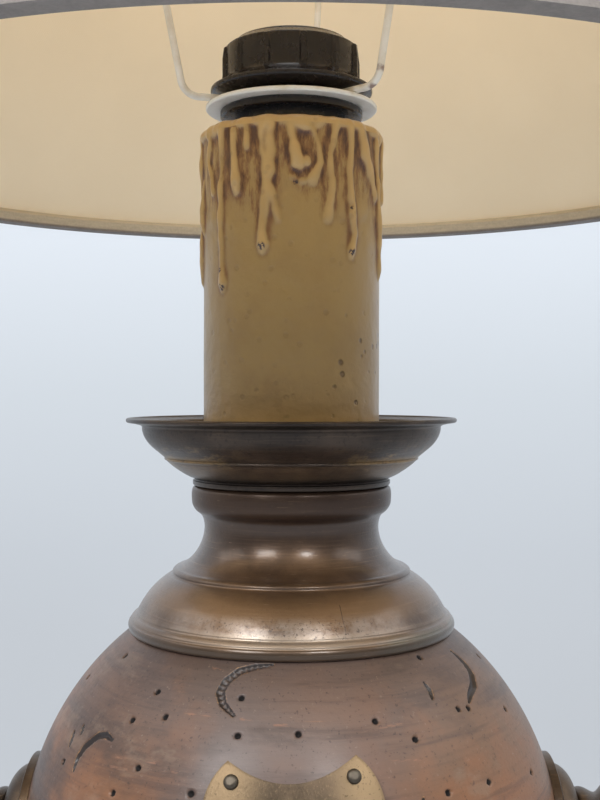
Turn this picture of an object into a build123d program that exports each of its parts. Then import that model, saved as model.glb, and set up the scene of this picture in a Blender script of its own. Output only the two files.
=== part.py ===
from build123d import *
from math import cos, radians, sin, sqrt
import os

# Table lamp with a candle sleeve and a fabric shade. Millimetres, +Z up.
# The origin is the centre of the foot's underside, and the shield plate faces -Y.

# Shared clearances
cut_overrun = 1.0
seat_gap = 0.1
pin_clearance = 0.1
moving_gap = 0.3

# Threaded tube and its hexagon nuts
tube_radius = 5.0
tube_bore_radius = 3.8
tube_end_length = 0.8
nut_across_flats = 14.0
nut_thickness = 3.0
washer_thickness = 1.2
foot_washer_radius = 13.0
pan_washer_radius = 11.0

# Turned wooden foot, its iron weight and its felt
felt_thickness = 2.0
felt_margin = 2.5
foot_radius = 72.0
foot_band_height = 13.0
foot_bead_radius = 1.8
foot_bead_middle_shares = (0.5, 0.87)
foot_bead_end_shares = (2.0, 0.5)
foot_cove_radius = 55.0
foot_top_radius = 50.0
foot_height = 26.0
foot_top_band_height = 3.0
pocket_radius = 50.0
pocket_depth = 14.0
weight_radius = 40.0
weight_thickness = 8.0
weight_edge = 1.0

# Cord inlet bush at the back of the foot
bush_height = 6.5
bush_flange_radius = 5.8
bush_flange_thickness = 2.0
bush_radius = 4.4
bush_bore_radius = 3.2
bush_length = 14.0

# Spun brass collar between foot and ball
spun_wall = 0.8
collar_foot_radius = 46.0
collar_edge_height = 1.2
collar_outline_shares = [(0.96, 0.0825), (0.65, 0.20), (0.48, 0.45), (0.485, 0.55), (0.60, 0.74)]
collar_rim_height = 1.6
collar_mouth_radius = 37.0
collar_height = 40.0

# Turned wooden ball
ball_radius = 73.0

# Spun neck with its bell skirt
bell_seat_radius = 44.0
neck_height = 39.3
neck_band_radius = 27.5
neck_band_edge = 1.2
neck_outline_shares = [(0.985, 0.13), (0.935, 0.205), (0.876, 0.31), (0.949, 0.476), (1.149, 0.583)]
neck_bead_radius = 1.5
bell_shoulder_radius = 33.4
bell_shoulder_drop = 24.6
bell_skirt_radius = 42.0
bell_skirt_drop = 34.2
bell_flange_radius = bell_seat_radius + spun_wall
bell_flange_drop = 37.4

# Spun drip pan
pan_foot_radius = 27.0
pan_foot_height = 1.7
pan_step_radius = 34.6
pan_step_height = 7.4
pan_step_rise = 0.7
pan_wall_radius = 41.1
pan_wall_height = 15.4
pan_rim_radius = 45.6
pan_rim_height = 17.5
pan_lip_height = 16.3

# Candle sleeve with wax runs
candle_radius = 24.2
candle_bore_radius = 20.3
candle_height = 96.0
candle_edge = 2.2
brim_height = 15.0
brim_swell = 0.7
wax_stand = 1.0
run_stem_share = 0.82

# Wax runs: angle from the front towards +X, start and end below the brim as shares of the
# candle's height, and half width as a share of its radius
wax_run_shares = [
    (-71, 0.15, 0.27, 0.070),
    (-62, 0.03, 0.19, 0.058),
    (-49, 0.03, 0.45, 0.056),
    (-37, 0.04, 0.20, 0.066),
    (-27, 0.03, 0.085, 0.045),
    (-15, 0.04, 0.35, 0.085),
    (3, 0.05, 0.125, 0.090),
    (16, 0.03, 0.175, 0.058),
    (26, 0.03, 0.275, 0.048),
    (41, 0.03, 0.355, 0.058),
    (57, 0.04, 0.18, 0.095),
    (75, 0.04, 0.41, 0.062),
    (92, 0.03, 0.19, 0.065),
    (108, 0.03, 0.33, 0.060),
    (125, 0.04, 0.14, 0.085),
    (141, 0.03, 0.25, 0.058),
    (158, 0.04, 0.42, 0.070),
    (176, 0.03, 0.18, 0.065),
    (193, 0.04, 0.30, 0.080),
    (211, 0.03, 0.13, 0.060),
    (226, 0.03, 0.38, 0.062),
    (243, 0.04, 0.21, 0.085),
    (262, 0.03, 0.29, 0.060),
    (278, 0.03, 0.15, 0.062),
]

# Lampholder
collar_gap = 3.8
holder_collar_radius = 19.6
holder_collar_thickness = 2.3
holder_thread_radius = 14.0
holder_thread_height = 18.3
holder_mouth_radius = 12.4
holder_skirt_radius = 15.5
holder_skirt_height = 15.3
holder_skirt_wall = 1.6
holder_spigot_height = 3.0
cap_height = 22.0
cap_neck_radius = 8.0
cap_neck_height = 6.0
cap_taper_height = 6.0
cap_ledge_height = 3.0
cap_ledge_depth = 2.6
insert_height = 41.0
insert_cavity_radius = 9.0
insert_cavity_height = 12.0
insert_floor_thickness = 6.0
liner_radius = 7.0
liner_wall = 0.45
liner_height = 18.5
contact_width = 5.0
contact_length = 9.0
contact_thickness = 0.4
contact_leg_width = 4.0
contact_leg_length = 13.0
contact_rise = 3.0
side_strip_width = 3.0
side_strip_thickness = 0.5
side_strip_length = 22.0
side_strip_overlap = 4.5
screw_radius = 1.5
screw_head_radius = 2.5
screw_head_height = 1.5
screw_height = 3.6

# Shade carrier
fitter_radius = 23.6
fitter_hole_radius = 14.6
fitter_thickness = 1.2
wire_radius = 1.1
wire_end_radius = 18.0
wire_corner_radius = 30.3
wire_bend_radius = 5.0
wire_notch_depth = 8.0
wire_left_angle = -72.0
wire_right_angle = 48.0
wire_back_angle = 168.0

# Shade
shade_height = 190.0
shade_drop = 16.5
shade_bottom_radius = 142.6
shade_top_radius = 65.6
cover_thickness = 0.5
liner_thickness = 0.5
binding_thickness = 0.4
binding_height = 7.0
ring_radius = 1.5
ring_lift = 0.2

# Ribbed ring nut
ring_nut_bore_radius = 14.35
ring_nut_seat_radius = 16.8
ring_nut_flange_radius = 21.5
ring_nut_flange_rise = 1.2
ring_nut_flange_edge = 1.5
ring_nut_body_radius = 18.2
ring_nut_flange_height = 5.2
ring_nut_body_height = 13.6
ring_nut_top_radius = 15.5
ring_nut_height = 15.9
ring_nut_rib_radius = 18.85
ring_nut_rib_width = 1.3
ring_nut_rib_count = 12
ring_nut_rib_angle = 10.0
ring_nut_flare_direction = (-1, 0.1)
ring_nut_crown_direction = (-0.15, 1)

# Shield plate and its domed pins
plate_thickness = 1.1
plate_width = 43.0
plate_height = 62.0
plate_top_rise = 41.0
plate_shift = 2.0
plate_tilt = 2.0
plate_horn_share = 0.335
plate_dip_share = 0.072
plate_outline_shares = [(0.43, 0.07), (0.475, 0.15), (0.5, 0.34), (0.34, 0.75)]
plate_pin_drop = 4.0
plate_pin_spread = 13.7
plate_low_pin_rise = 9.0
pin_head_radius = 1.7
pin_head_height = 1.1
pin_shank_radius = 0.6
pin_shank_length = 9.0
pin_dome_share = 0.9

# Turned rosettes and knobs on the ball's sides
rosette_radius = 22.4
rosette_rim_thickness = 2.2
rosette_lip_radius = 20.9
rosette_lip_rise = 0.6
rosette_reach = 8.4
rosette_step_radius = 19.6
rosette_neck_radius = 12.6
knob_neck_radius = 11.0
knob_radius = 12.9
knob_length = 11.0
knob_widest_share = 0.25
knob_shoulder_radius = 11.4
knob_shoulder_share = 0.6
side_pin_radius = 3.0
side_pin_depth = 14.0
side_pin_reach = 6.0

# Heights that follow from the sizes above
foot_base_z = felt_thickness
foot_top_z = foot_base_z + foot_height
pocket_roof_z = foot_base_z + pocket_depth
weight_base_z = pocket_roof_z - weight_thickness
foot_washer_z = weight_base_z - washer_thickness
foot_nut_z = foot_washer_z - nut_thickness
tube_base_z = foot_nut_z - tube_end_length
bush_z = foot_base_z + bush_height
ball_z = foot_top_z + collar_height + seat_gap + sqrt(ball_radius**2 - collar_mouth_radius**2)
bell_seat_z = ball_z + sqrt(ball_radius**2 - bell_seat_radius**2)
neck_base_z = bell_seat_z + seat_gap
neck_top_z = neck_base_z + neck_height
pan_floor_z = neck_top_z + spun_wall
pan_nut_z = pan_floor_z + washer_thickness
candle_top_z = pan_floor_z + candle_height
holder_collar_z = candle_top_z + collar_gap
washer_seat_z = holder_collar_z + holder_collar_thickness
holder_top_z = washer_seat_z + holder_thread_height
skirt_base_z = holder_collar_z - holder_skirt_height
cap_base_z = skirt_base_z - cap_height
cap_neck_z = cap_base_z - cap_neck_height
lock_nut_z = cap_neck_z - nut_thickness
tube_top_z = cap_base_z + tube_end_length
insert_base_z = cap_base_z + cap_taper_height + cap_ledge_height
insert_top_z = insert_base_z + insert_height
cavity_roof_z = insert_base_z + insert_cavity_height
socket_floor_z = cavity_roof_z + insert_floor_thickness
liner_top_z = insert_top_z
liner_base_z = liner_top_z - liner_height
contact_z = socket_floor_z + contact_rise
fitter_top_z = washer_seat_z + fitter_thickness
wire_z = fitter_top_z + wire_radius
ring_nut_z = wire_z + wire_radius
shade_base_z = washer_seat_z - shade_drop
shade_top_z = shade_base_z + shade_height

# The plate lies on the ball's front, shifted and tilted a little, and its pins point at the
# ball's centre
plate_plane = Plane(
    (plate_shift, 0, ball_z),
    x_dir=(cos(radians(plate_tilt)), 0, sin(radians(plate_tilt))),
    z_dir=(0, -1, 0),
)
plate_face_radius = ball_radius + seat_gap + plate_thickness
pin_planes = []
for across, up in (
    (-plate_pin_spread, plate_top_rise - plate_pin_drop),
    (plate_pin_spread, plate_top_rise - plate_pin_drop),
    (0, plate_top_rise - plate_height + plate_low_pin_rise),
):
    spot = plate_plane.from_local_coords(Vector(across, up, 0)) - Vector(0, 0, ball_z)
    depth = sqrt(plate_face_radius**2 - spot.X**2 - spot.Z**2)
    pin_axis = Vector(spot.X, -depth, spot.Z)
    pin_planes.append(Plane(pin_axis + Vector(0, 0, ball_z), z_dir=pin_axis))


def disc(radius, hole_radius, base_z, thickness):
    """A flat disc with a round hole, from base_z upwards."""
    with BuildPart() as piece:
        with BuildSketch(Plane.XY.offset(base_z)):
            Circle(radius)
            Circle(hole_radius, mode=Mode.SUBTRACT)
        extrude(amount=thickness)
    return piece


def hexagon_nut(base_z):
    """A thin hexagon nut for the threaded tube, its thread left as a plain bore."""
    with BuildPart() as piece:
        with BuildSketch(Plane.XY.offset(base_z)):
            RegularPolygon(nut_across_flats / 2, 6, major_radius=False)
            Circle(tube_radius + pin_clearance, mode=Mode.SUBTRACT)
        extrude(amount=nut_thickness)
    return piece


def turned(points):
    """A piece turned about the lamp's axis from a straight-sided outline of (radius, height)."""
    with BuildPart() as piece:
        with BuildSketch(Plane.XZ):
            with BuildLine():
                Polyline(*points, close=True)
            make_face()
        revolve(axis=Axis.Z)
    return piece


pieces = {}

# Threaded tube with its washers and nuts
pieces["threaded_tube"] = disc(tube_radius, tube_bore_radius, tube_base_z, tube_top_z - tube_base_z)
pieces["foot_washer"] = disc(
    foot_washer_radius, tube_radius + pin_clearance, foot_washer_z, washer_thickness
)
pieces["foot_nut"] = hexagon_nut(foot_nut_z)
pieces["pan_washer"] = disc(
    pan_washer_radius, tube_radius + pin_clearance, pan_floor_z, washer_thickness
)
pieces["pan_nut"] = hexagon_nut(pan_nut_z)
pieces["lock_nut"] = hexagon_nut(lock_nut_z)

# Felt pad under the foot
with BuildPart() as felt_pad:
    with BuildSketch():
        Circle(foot_radius - felt_margin)
    extrude(amount=felt_thickness)
pieces["felt_pad"] = felt_pad

# Iron weight in the foot's pocket, clamped by the lower nut
with BuildPart() as base_weight:
    with BuildSketch(Plane.XY.offset(weight_base_z)):
        Circle(weight_radius)
        Circle(tube_radius + pin_clearance, mode=Mode.SUBTRACT)
    extrude(amount=weight_thickness)
    chamfer(base_weight.edges().group_by(Axis.Z)[0].sort_by(SortBy.RADIUS)[-1], weight_edge)
pieces["base_weight"] = base_weight

# Turned wooden foot: a straight band, a bead and a cove up to the collar's seat
with BuildPart() as wood_foot:
    with BuildSketch(Plane.XZ):
        with BuildLine():
            band_top_z = foot_base_z + foot_band_height
            cove_top_z = foot_top_z - foot_top_band_height
            Line((0, foot_base_z), (foot_radius, foot_base_z))
            Line((foot_radius, foot_base_z), (foot_radius, band_top_z))
            bead = ThreePointArc((foot_radius, band_top_z), *[
                (foot_radius - foot_bead_radius * inward_share, band_top_z + foot_bead_radius * rise_share)
                for inward_share, rise_share in (foot_bead_middle_shares, foot_bead_end_shares)
            ])
            cove = Spline(
                bead @ 1, (foot_cove_radius, cove_top_z), tangents=((-1, 0), (0, 1))
            )
            Line(cove @ 1, (foot_top_radius, foot_top_z))
            Line((foot_top_radius, foot_top_z), (0, foot_top_z))
            Line((0, foot_top_z), (0, foot_base_z))
        make_face()
    revolve(axis=Axis.Z)
    with BuildSketch(Plane.XY.offset(foot_base_z)):
        Circle(pocket_radius)
    extrude(amount=pocket_depth, mode=Mode.SUBTRACT)
    with BuildSketch(Plane.XY.offset(foot_top_z)):
        Circle(tube_radius + pin_clearance)
    extrude(amount=-foot_height, mode=Mode.SUBTRACT)
    with BuildSketch(Plane.XZ.offset(-foot_radius - cut_overrun)):
        with Locations((0, bush_z)):
            Circle(bush_radius + pin_clearance)
    extrude(amount=foot_radius - pocket_radius + 2 * cut_overrun, mode=Mode.SUBTRACT)
pieces["wood_foot"] = wood_foot

# Cord inlet bush: a flanged sleeve pushed into the foot from behind
with BuildPart() as cord_bush:
    with BuildSketch(Plane.XZ.offset(-foot_radius)):
        with Locations((0, bush_z)):
            Circle(bush_flange_radius)
    extrude(amount=-bush_flange_thickness)
    with BuildSketch(Plane.XZ.offset(-foot_radius)):
        with Locations((0, bush_z)):
            Circle(bush_radius)
    extrude(amount=bush_length)
    fillet(
        cord_bush.edges().filter_by(GeomType.CIRCLE).sort_by(Axis.Y)[-1], bush_flange_thickness / 2
    )
    with BuildSketch(Plane.XZ.offset(-foot_radius - bush_flange_thickness - cut_overrun)):
        with Locations((0, bush_z)):
            Circle(bush_bore_radius)
    extrude(amount=bush_length + bush_flange_thickness + 2 * cut_overrun, mode=Mode.SUBTRACT)
pieces["cord_bush"] = cord_bush

# Spun collar: a foot flange, a waist and a cup whose mouth carries the ball
with BuildPart() as foot_collar:
    with BuildSketch(Plane.XZ):
        with BuildLine():
            mouth_z = foot_top_z + collar_height
            edge = Line(
                (collar_foot_radius, foot_top_z), (collar_foot_radius, foot_top_z + collar_edge_height)
            )
            for radius_share, rise_share in collar_outline_shares:
                edge = TangentArc(
                    edge @ 1,
                    (collar_foot_radius * radius_share, foot_top_z + collar_height * rise_share),
                    tangent=edge % 1,
                )
            Polyline(
                edge @ 1,
                (collar_mouth_radius + spun_wall, mouth_z - collar_rim_height),
                (collar_mouth_radius + spun_wall, mouth_z),
            )
            offset(amount=spun_wall, side=Side.LEFT)
        make_face()
    revolve(axis=Axis.Z)
pieces["foot_collar"] = foot_collar

# Turned ball, drilled for the tube, the side pins and the plate's pins
with BuildPart(Plane.XY.offset(ball_z)) as wood_ball:
    Sphere(ball_radius, rotation=(0, 0, 90))
    Cylinder(tube_radius + pin_clearance, 2 * (ball_radius + cut_overrun), mode=Mode.SUBTRACT)
    for side in (1, -1):
        with BuildSketch(Plane.YZ.offset(side * (ball_radius + cut_overrun))):
            with Locations((0, ball_z)):
                Circle(side_pin_radius + pin_clearance)
        extrude(amount=-side * (side_pin_depth + 2 * cut_overrun), mode=Mode.SUBTRACT)
    for plane in pin_planes:
        with BuildSketch(plane):
            Circle(pin_shank_radius + pin_clearance)
        extrude(amount=-pin_shank_length - pin_clearance, mode=Mode.SUBTRACT)
pieces["wood_ball"] = wood_ball

# Spun neck: a flat top, a band, a waist, a beaded step and a bell skirt that seats on the ball
with BuildPart() as neck_bell:
    with BuildSketch(Plane.XZ):
        with BuildLine():
            top = Line(
                (tube_radius + pin_clearance, neck_top_z), (neck_band_radius - neck_band_edge, neck_top_z)
            )
            edge = RadiusArc(top @ 1, (neck_band_radius, neck_top_z - neck_band_edge), neck_band_edge)
            for radius_share, drop_share in neck_outline_shares:
                edge = TangentArc(
                    edge @ 1,
                    (neck_band_radius * radius_share, neck_top_z - neck_height * drop_share),
                    tangent=edge % 1,
                )
            bead = RadiusArc(
                edge @ 1, (bell_shoulder_radius, neck_top_z - bell_shoulder_drop), neck_bead_radius
            )
            skirt = TangentArc(
                bead @ 1, (bell_skirt_radius, neck_top_z - bell_skirt_drop), tangent=(1, -0.63)
            )
            flange = TangentArc(
                skirt @ 1, (bell_flange_radius, neck_top_z - bell_flange_drop), tangent=(1, -0.75)
            )
            Line(flange @ 1, (bell_flange_radius, neck_base_z))
            offset(amount=spun_wall, side=Side.RIGHT)
        make_face()
    revolve(axis=Axis.Z)
pieces["neck_bell"] = neck_bell

# Spun drip pan: a grooved foot, two rounded steps and a flat lip
with BuildPart() as drip_pan:
    with BuildSketch(Plane.XZ):
        with BuildLine():
            floor = Line((tube_radius + pin_clearance, neck_top_z), (pan_foot_radius, neck_top_z))
            foot = Line(floor @ 1, (pan_foot_radius, neck_top_z + pan_foot_height))
            low = TangentArc(
                foot @ 1, (pan_step_radius, neck_top_z + pan_step_height), tangent=(1, 0.42)
            )
            step = Line(low @ 1, (pan_step_radius, neck_top_z + pan_step_height + pan_step_rise))
            high = TangentArc(
                step @ 1, (pan_wall_radius, neck_top_z + pan_wall_height), tangent=(1, 0.6)
            )
            lip = Line(high @ 1, (pan_wall_radius + spun_wall, neck_top_z + pan_lip_height))
            Line(lip @ 1, (pan_rim_radius, neck_top_z + pan_rim_height))
            offset(amount=spun_wall, side=Side.LEFT)
        make_face()
    revolve(axis=Axis.Z)
pieces["drip_pan"] = drip_pan

# Candle sleeve: a cast tube with a thick waxy brim and runs of wax down its outside
with BuildPart() as candle_sleeve:
    with BuildSketch(Plane.XZ):
        with BuildLine():
            brim_z = candle_top_z - brim_height
            brim_radius = candle_radius + brim_swell
            side = Line((candle_radius, pan_floor_z), (candle_radius, brim_z))
            swell = Spline(side @ 1, (brim_radius, brim_z + brim_height / 2), tangents=((0, 1), (0, 1)))
            brim = Line(swell @ 1, (brim_radius, candle_top_z - candle_edge))
            lip = TangentArc(brim @ 1, (brim_radius - candle_edge, candle_top_z), tangent=(0, 1))
            Line(lip @ 1, (candle_bore_radius, candle_top_z))
            Line((candle_bore_radius, candle_top_z), (candle_bore_radius, pan_floor_z))
            Line((candle_bore_radius, pan_floor_z), side @ 0)
        make_face()
    revolve(axis=Axis.Z)
    for angle, start_share, end_share, width_share in wax_run_shares:
        run_radius = candle_radius * width_share
        reach = candle_radius + wax_stand - run_radius
        run_top_z = candle_top_z - candle_height * start_share
        run_length = candle_height * (end_share - start_share)
        run_x = reach * sin(radians(angle))
        run_y = -reach * cos(radians(angle))
        with BuildSketch(Plane((run_x, run_y, run_top_z))):
            Circle(run_radius * run_stem_share)
        extrude(amount=-run_length)
        with Locations((run_x, run_y, run_top_z)):
            Sphere(run_radius * run_stem_share)
        with Locations((run_x, run_y, run_top_z - run_length)):
            Sphere(run_radius)
pieces["candle_sleeve"] = candle_sleeve

# Lampholder cap: a cup with a neck for the tube and a ledge that carries the insert
cap_inner_radius = holder_skirt_radius - holder_skirt_wall
cap_shoulder_z = cap_base_z + cap_taper_height
cap_ledge_radius = cap_inner_radius - cap_ledge_depth
tube_hole_radius = tube_radius + pin_clearance
pieces["holder_cap"] = turned([
    (tube_hole_radius, cap_neck_z),
    (cap_neck_radius, cap_neck_z),
    (cap_neck_radius, cap_base_z),
    (holder_skirt_radius, cap_shoulder_z),
    (holder_skirt_radius, skirt_base_z),
    (cap_inner_radius, skirt_base_z),
    (cap_inner_radius, insert_base_z),
    (cap_ledge_radius, insert_base_z),
    (cap_ledge_radius, cap_shoulder_z),
    (tube_hole_radius + holder_skirt_wall, cap_base_z + holder_skirt_wall),
    (tube_hole_radius, cap_base_z + holder_skirt_wall),
])

# Lampholder shell: a spigot, a skirt, the collar that carries the shade and the outside thread
spigot_base_z = skirt_base_z - holder_spigot_height
pieces["holder_shell"] = turned([
    (holder_mouth_radius, spigot_base_z),
    (cap_inner_radius - seat_gap, spigot_base_z),
    (cap_inner_radius - seat_gap, skirt_base_z),
    (holder_skirt_radius, skirt_base_z),
    (holder_skirt_radius, holder_collar_z),
    (holder_collar_radius, holder_collar_z),
    (holder_collar_radius, washer_seat_z),
    (holder_thread_radius, washer_seat_z),
    (holder_thread_radius, holder_top_z),
    (holder_mouth_radius, holder_top_z),
])

# Lampholder insert: a ceramic plug bored for the screw liner, with a cavity for the terminals
insert_radius = holder_mouth_radius - moving_gap
liner_outer_radius = liner_radius + liner_wall
strip_inner_x = liner_outer_radius + seat_gap
strip_outer_x = strip_inner_x + side_strip_thickness
strip_base_z = liner_base_z + side_strip_overlap - side_strip_length
screw_head_x = insert_radius - screw_head_height
screw_z = insert_base_z + screw_height
leg_x = -contact_length / 2 + contact_thickness / 2
with BuildPart() as holder_insert:
    with BuildSketch(Plane.XY.offset(insert_base_z)):
        Circle(insert_radius)
    extrude(amount=insert_height)
    with BuildSketch(Plane.XY.offset(insert_base_z)):
        Circle(insert_cavity_radius)
    extrude(amount=insert_cavity_height, mode=Mode.SUBTRACT)
    with BuildSketch(Plane.XY.offset(socket_floor_z)):
        Circle(liner_outer_radius + seat_gap)
    extrude(amount=insert_height, mode=Mode.SUBTRACT)
    with BuildSketch(Plane.XY.offset(socket_floor_z)):
        with Locations((leg_x, 0)):
            Rectangle(contact_thickness + 2 * moving_gap, contact_leg_width + 2 * moving_gap)
    extrude(amount=-insert_floor_thickness, mode=Mode.SUBTRACT)
    with BuildSketch(Plane.XY.offset(strip_base_z)):
        with Locations(((strip_inner_x + strip_outer_x) / 2, 0)):
            Rectangle(side_strip_thickness + 2 * seat_gap, side_strip_width + 2 * seat_gap)
    extrude(amount=side_strip_length + seat_gap, mode=Mode.SUBTRACT)
    for side in (1, -1):
        with BuildSketch(Plane.YZ.offset(side * screw_head_x)):
            with Locations((0, screw_z)):
                Circle(screw_radius + pin_clearance)
        extrude(amount=-side * (screw_head_x - strip_outer_x), mode=Mode.SUBTRACT)
        with BuildSketch(Plane.YZ.offset(side * screw_head_x)):
            with Locations((0, screw_z)):
                Circle(screw_head_radius + pin_clearance)
        extrude(amount=side * (screw_head_height + cut_overrun), mode=Mode.SUBTRACT)
pieces["holder_insert"] = holder_insert

# Screw liner of the socket, its thread left as a plain bore
pieces["screw_liner"] = disc(liner_outer_radius, liner_radius, liner_base_z, liner_height)

# Side contact: a brass strip from the liner's foot down to its terminal
with BuildPart() as side_contact:
    with BuildSketch(Plane.XY.offset(strip_base_z)):
        with Locations(((strip_inner_x + strip_outer_x) / 2, 0)):
            Rectangle(side_strip_thickness, side_strip_width)
    extrude(amount=side_strip_length)
pieces["side_contact"] = side_contact

# Centre contact: a springy brass tongue with a leg through the insert's floor
with BuildPart() as center_contact:
    with BuildSketch(Plane.XY.offset(contact_z)):
        Rectangle(contact_length, contact_width)
    extrude(amount=contact_thickness)
    with BuildSketch(Plane.XY.offset(contact_z)):
        with Locations((leg_x, 0)):
            Rectangle(contact_thickness, contact_leg_width)
    extrude(amount=-contact_leg_length)
pieces["center_contact"] = center_contact

# Two terminal screws in the insert's lower wall
with BuildPart() as terminal_screws:
    for side in (1, -1):
        with BuildSketch(Plane.YZ.offset(side * screw_head_x)):
            with Locations((0, screw_z)):
                Circle(screw_head_radius)
        extrude(amount=side * screw_head_height)
        with BuildSketch(Plane.YZ.offset(side * screw_head_x)):
            with Locations((0, screw_z)):
                Circle(screw_radius)
        extrude(amount=-side * (screw_head_x - strip_outer_x - seat_gap))
pieces["terminal_screws"] = terminal_screws

# Flat fitter ring that rests on the lampholder's collar
pieces["fitter_ring"] = disc(fitter_radius, fitter_hole_radius, washer_seat_z, fitter_thickness)


def cover_radius(height):
    """Outer radius of the shade's cover at a height above the lamp's foot."""
    share = (height - shade_base_z) / shade_height
    return shade_bottom_radius + (shade_top_radius - shade_bottom_radius) * share


# The shade's layers, from the outside in, and its wire rings in the bound edges
shade_lean = (shade_bottom_radius - shade_top_radius) / shade_height
lining_depth = cover_thickness + liner_thickness
ring_depth = lining_depth + ring_radius * sqrt(1 + shade_lean**2) + seat_gap
cloth_base_z = shade_base_z + binding_thickness
cloth_top_z = shade_top_z - binding_thickness
low_ring_z = cloth_base_z + ring_radius + ring_lift
top_ring_z = cloth_top_z - ring_radius - ring_lift
low_ring_radius = cover_radius(low_ring_z) - ring_depth
top_ring_radius = cover_radius(top_ring_z) - ring_depth
pieces["shade_cover"] = turned([
    (cover_radius(cloth_base_z), cloth_base_z),
    (cover_radius(cloth_top_z), cloth_top_z),
    (cover_radius(cloth_top_z) - cover_thickness, cloth_top_z),
    (cover_radius(cloth_base_z) - cover_thickness, cloth_base_z),
])
pieces["shade_liner"] = turned([
    (cover_radius(cloth_base_z) - cover_thickness, cloth_base_z),
    (cover_radius(cloth_top_z) - cover_thickness, cloth_top_z),
    (cover_radius(cloth_top_z) - lining_depth, cloth_top_z),
    (cover_radius(cloth_base_z) - lining_depth, cloth_base_z),
])
for name, radius, height in (
    ("shade_bottom_ring", low_ring_radius, low_ring_z),
    ("shade_top_ring", top_ring_radius, top_ring_z),
):
    with BuildPart(Plane.XY.offset(height)) as wire_ring:
        Torus(radius, ring_radius)
    pieces[name] = wire_ring


def binding(edge_z, upward, ring_center_radius):
    """A strip folded over the shade's edge and its wire ring; upward is 1 at the lower edge."""
    inner_edge_z = edge_z + upward * binding_thickness
    hem_z = edge_z + upward * binding_height
    ring_side_z = inner_edge_z + upward * (ring_lift + 2 * ring_radius)
    pocket_radius = ring_center_radius - ring_radius - seat_gap
    return turned([
        (cover_radius(edge_z) + binding_thickness, edge_z),
        (cover_radius(hem_z) + binding_thickness, hem_z),
        (cover_radius(hem_z), hem_z),
        (cover_radius(inner_edge_z), inner_edge_z),
        (pocket_radius, inner_edge_z),
        (pocket_radius, ring_side_z),
        (cover_radius(hem_z) - lining_depth, hem_z),
        (cover_radius(hem_z) - lining_depth - binding_thickness, hem_z),
        (pocket_radius - binding_thickness, ring_side_z),
        (pocket_radius - binding_thickness, edge_z),
    ])


pieces["bottom_binding"] = binding(shade_base_z, 1, low_ring_radius)

# Carrier wires: out from the fitter ring, round a bend and up to the top ring
wire_angles = {"left": wire_left_angle, "right": wire_right_angle, "back": wire_back_angle}
wire_top_z = top_ring_z - ring_radius - seat_gap
for name, angle in wire_angles.items():
    outward = Vector(sin(radians(angle)), -cos(radians(angle)), 0)
    sideways = Vector(-cos(radians(angle)), -sin(radians(angle)), 0)
    with BuildPart() as carrier_wire:
        with BuildLine(Plane((0, 0, 0), x_dir=outward, z_dir=sideways)) as wire_path:
            FilletPolyline(
                (wire_end_radius, wire_z),
                (wire_corner_radius, wire_z),
                (top_ring_radius, wire_top_z),
                radius=wire_bend_radius,
            )
        with BuildSketch(Plane(wire_path.line @ 0, z_dir=wire_path.line % 0)):
            Circle(wire_radius)
        sweep(path=wire_path.line)
    pieces["carrier_wire_" + name] = carrier_wire

# Top binding, notched on the inside where the carrier wires meet the ring
with BuildPart() as top_binding:
    add(binding(shade_top_z, -1, top_ring_radius).part)
    for angle in wire_angles.values():
        outward = Vector(sin(radians(angle)), -cos(radians(angle)), 0)
        notch_radius = top_ring_radius - ring_radius
        with BuildSketch(Plane(outward * notch_radius, x_dir=outward, z_dir=(0, 0, 1)).offset(
            shade_top_z - binding_height - cut_overrun
        )):
            Rectangle(wire_notch_depth, 2 * (wire_radius + moving_gap))
        extrude(amount=binding_height + cut_overrun - binding_thickness - ring_radius, mode=Mode.SUBTRACT)
pieces["top_binding"] = top_binding

# Ribbed ring nut: a thin wide flange swept up into a ribbed body with a rounded crown
with BuildPart() as ring_nut:
    with BuildSketch(Plane.XZ):
        with BuildLine():
            rim_top_z = ring_nut_z + ring_nut_flange_rise + ring_nut_flange_edge
            under = Polyline(
                (ring_nut_bore_radius, ring_nut_z + ring_nut_height),
                (ring_nut_bore_radius, ring_nut_z),
                (ring_nut_seat_radius, ring_nut_z),
                (ring_nut_flange_radius, ring_nut_z + ring_nut_flange_rise),
                (ring_nut_flange_radius, rim_top_z),
            )
            flare = TangentArc(
                under @ 1,
                (ring_nut_body_radius, ring_nut_z + ring_nut_flange_height),
                tangent=ring_nut_flare_direction,
            )
            side = Line(flare @ 1, (ring_nut_body_radius, ring_nut_z + ring_nut_body_height))
            crown = TangentArc(
                side @ 1,
                (ring_nut_top_radius, ring_nut_z + ring_nut_height),
                tangent=ring_nut_crown_direction,
            )
            Line(crown @ 1, under @ 0)
        make_face()
    revolve(axis=Axis.Z)
    rib_depth = 2 * (ring_nut_rib_radius - ring_nut_body_radius)
    with BuildSketch(Plane.XY.offset(ring_nut_z + ring_nut_flange_height - ring_nut_flange_edge)):
        with PolarLocations(
            ring_nut_rib_radius - rib_depth / 2, ring_nut_rib_count, start_angle=ring_nut_rib_angle - 90
        ):
            Rectangle(rib_depth, ring_nut_rib_width)
    extrude(amount=ring_nut_body_height - ring_nut_flange_height + ring_nut_flange_edge)
pieces["shade_ring_nut"] = ring_nut

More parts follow.
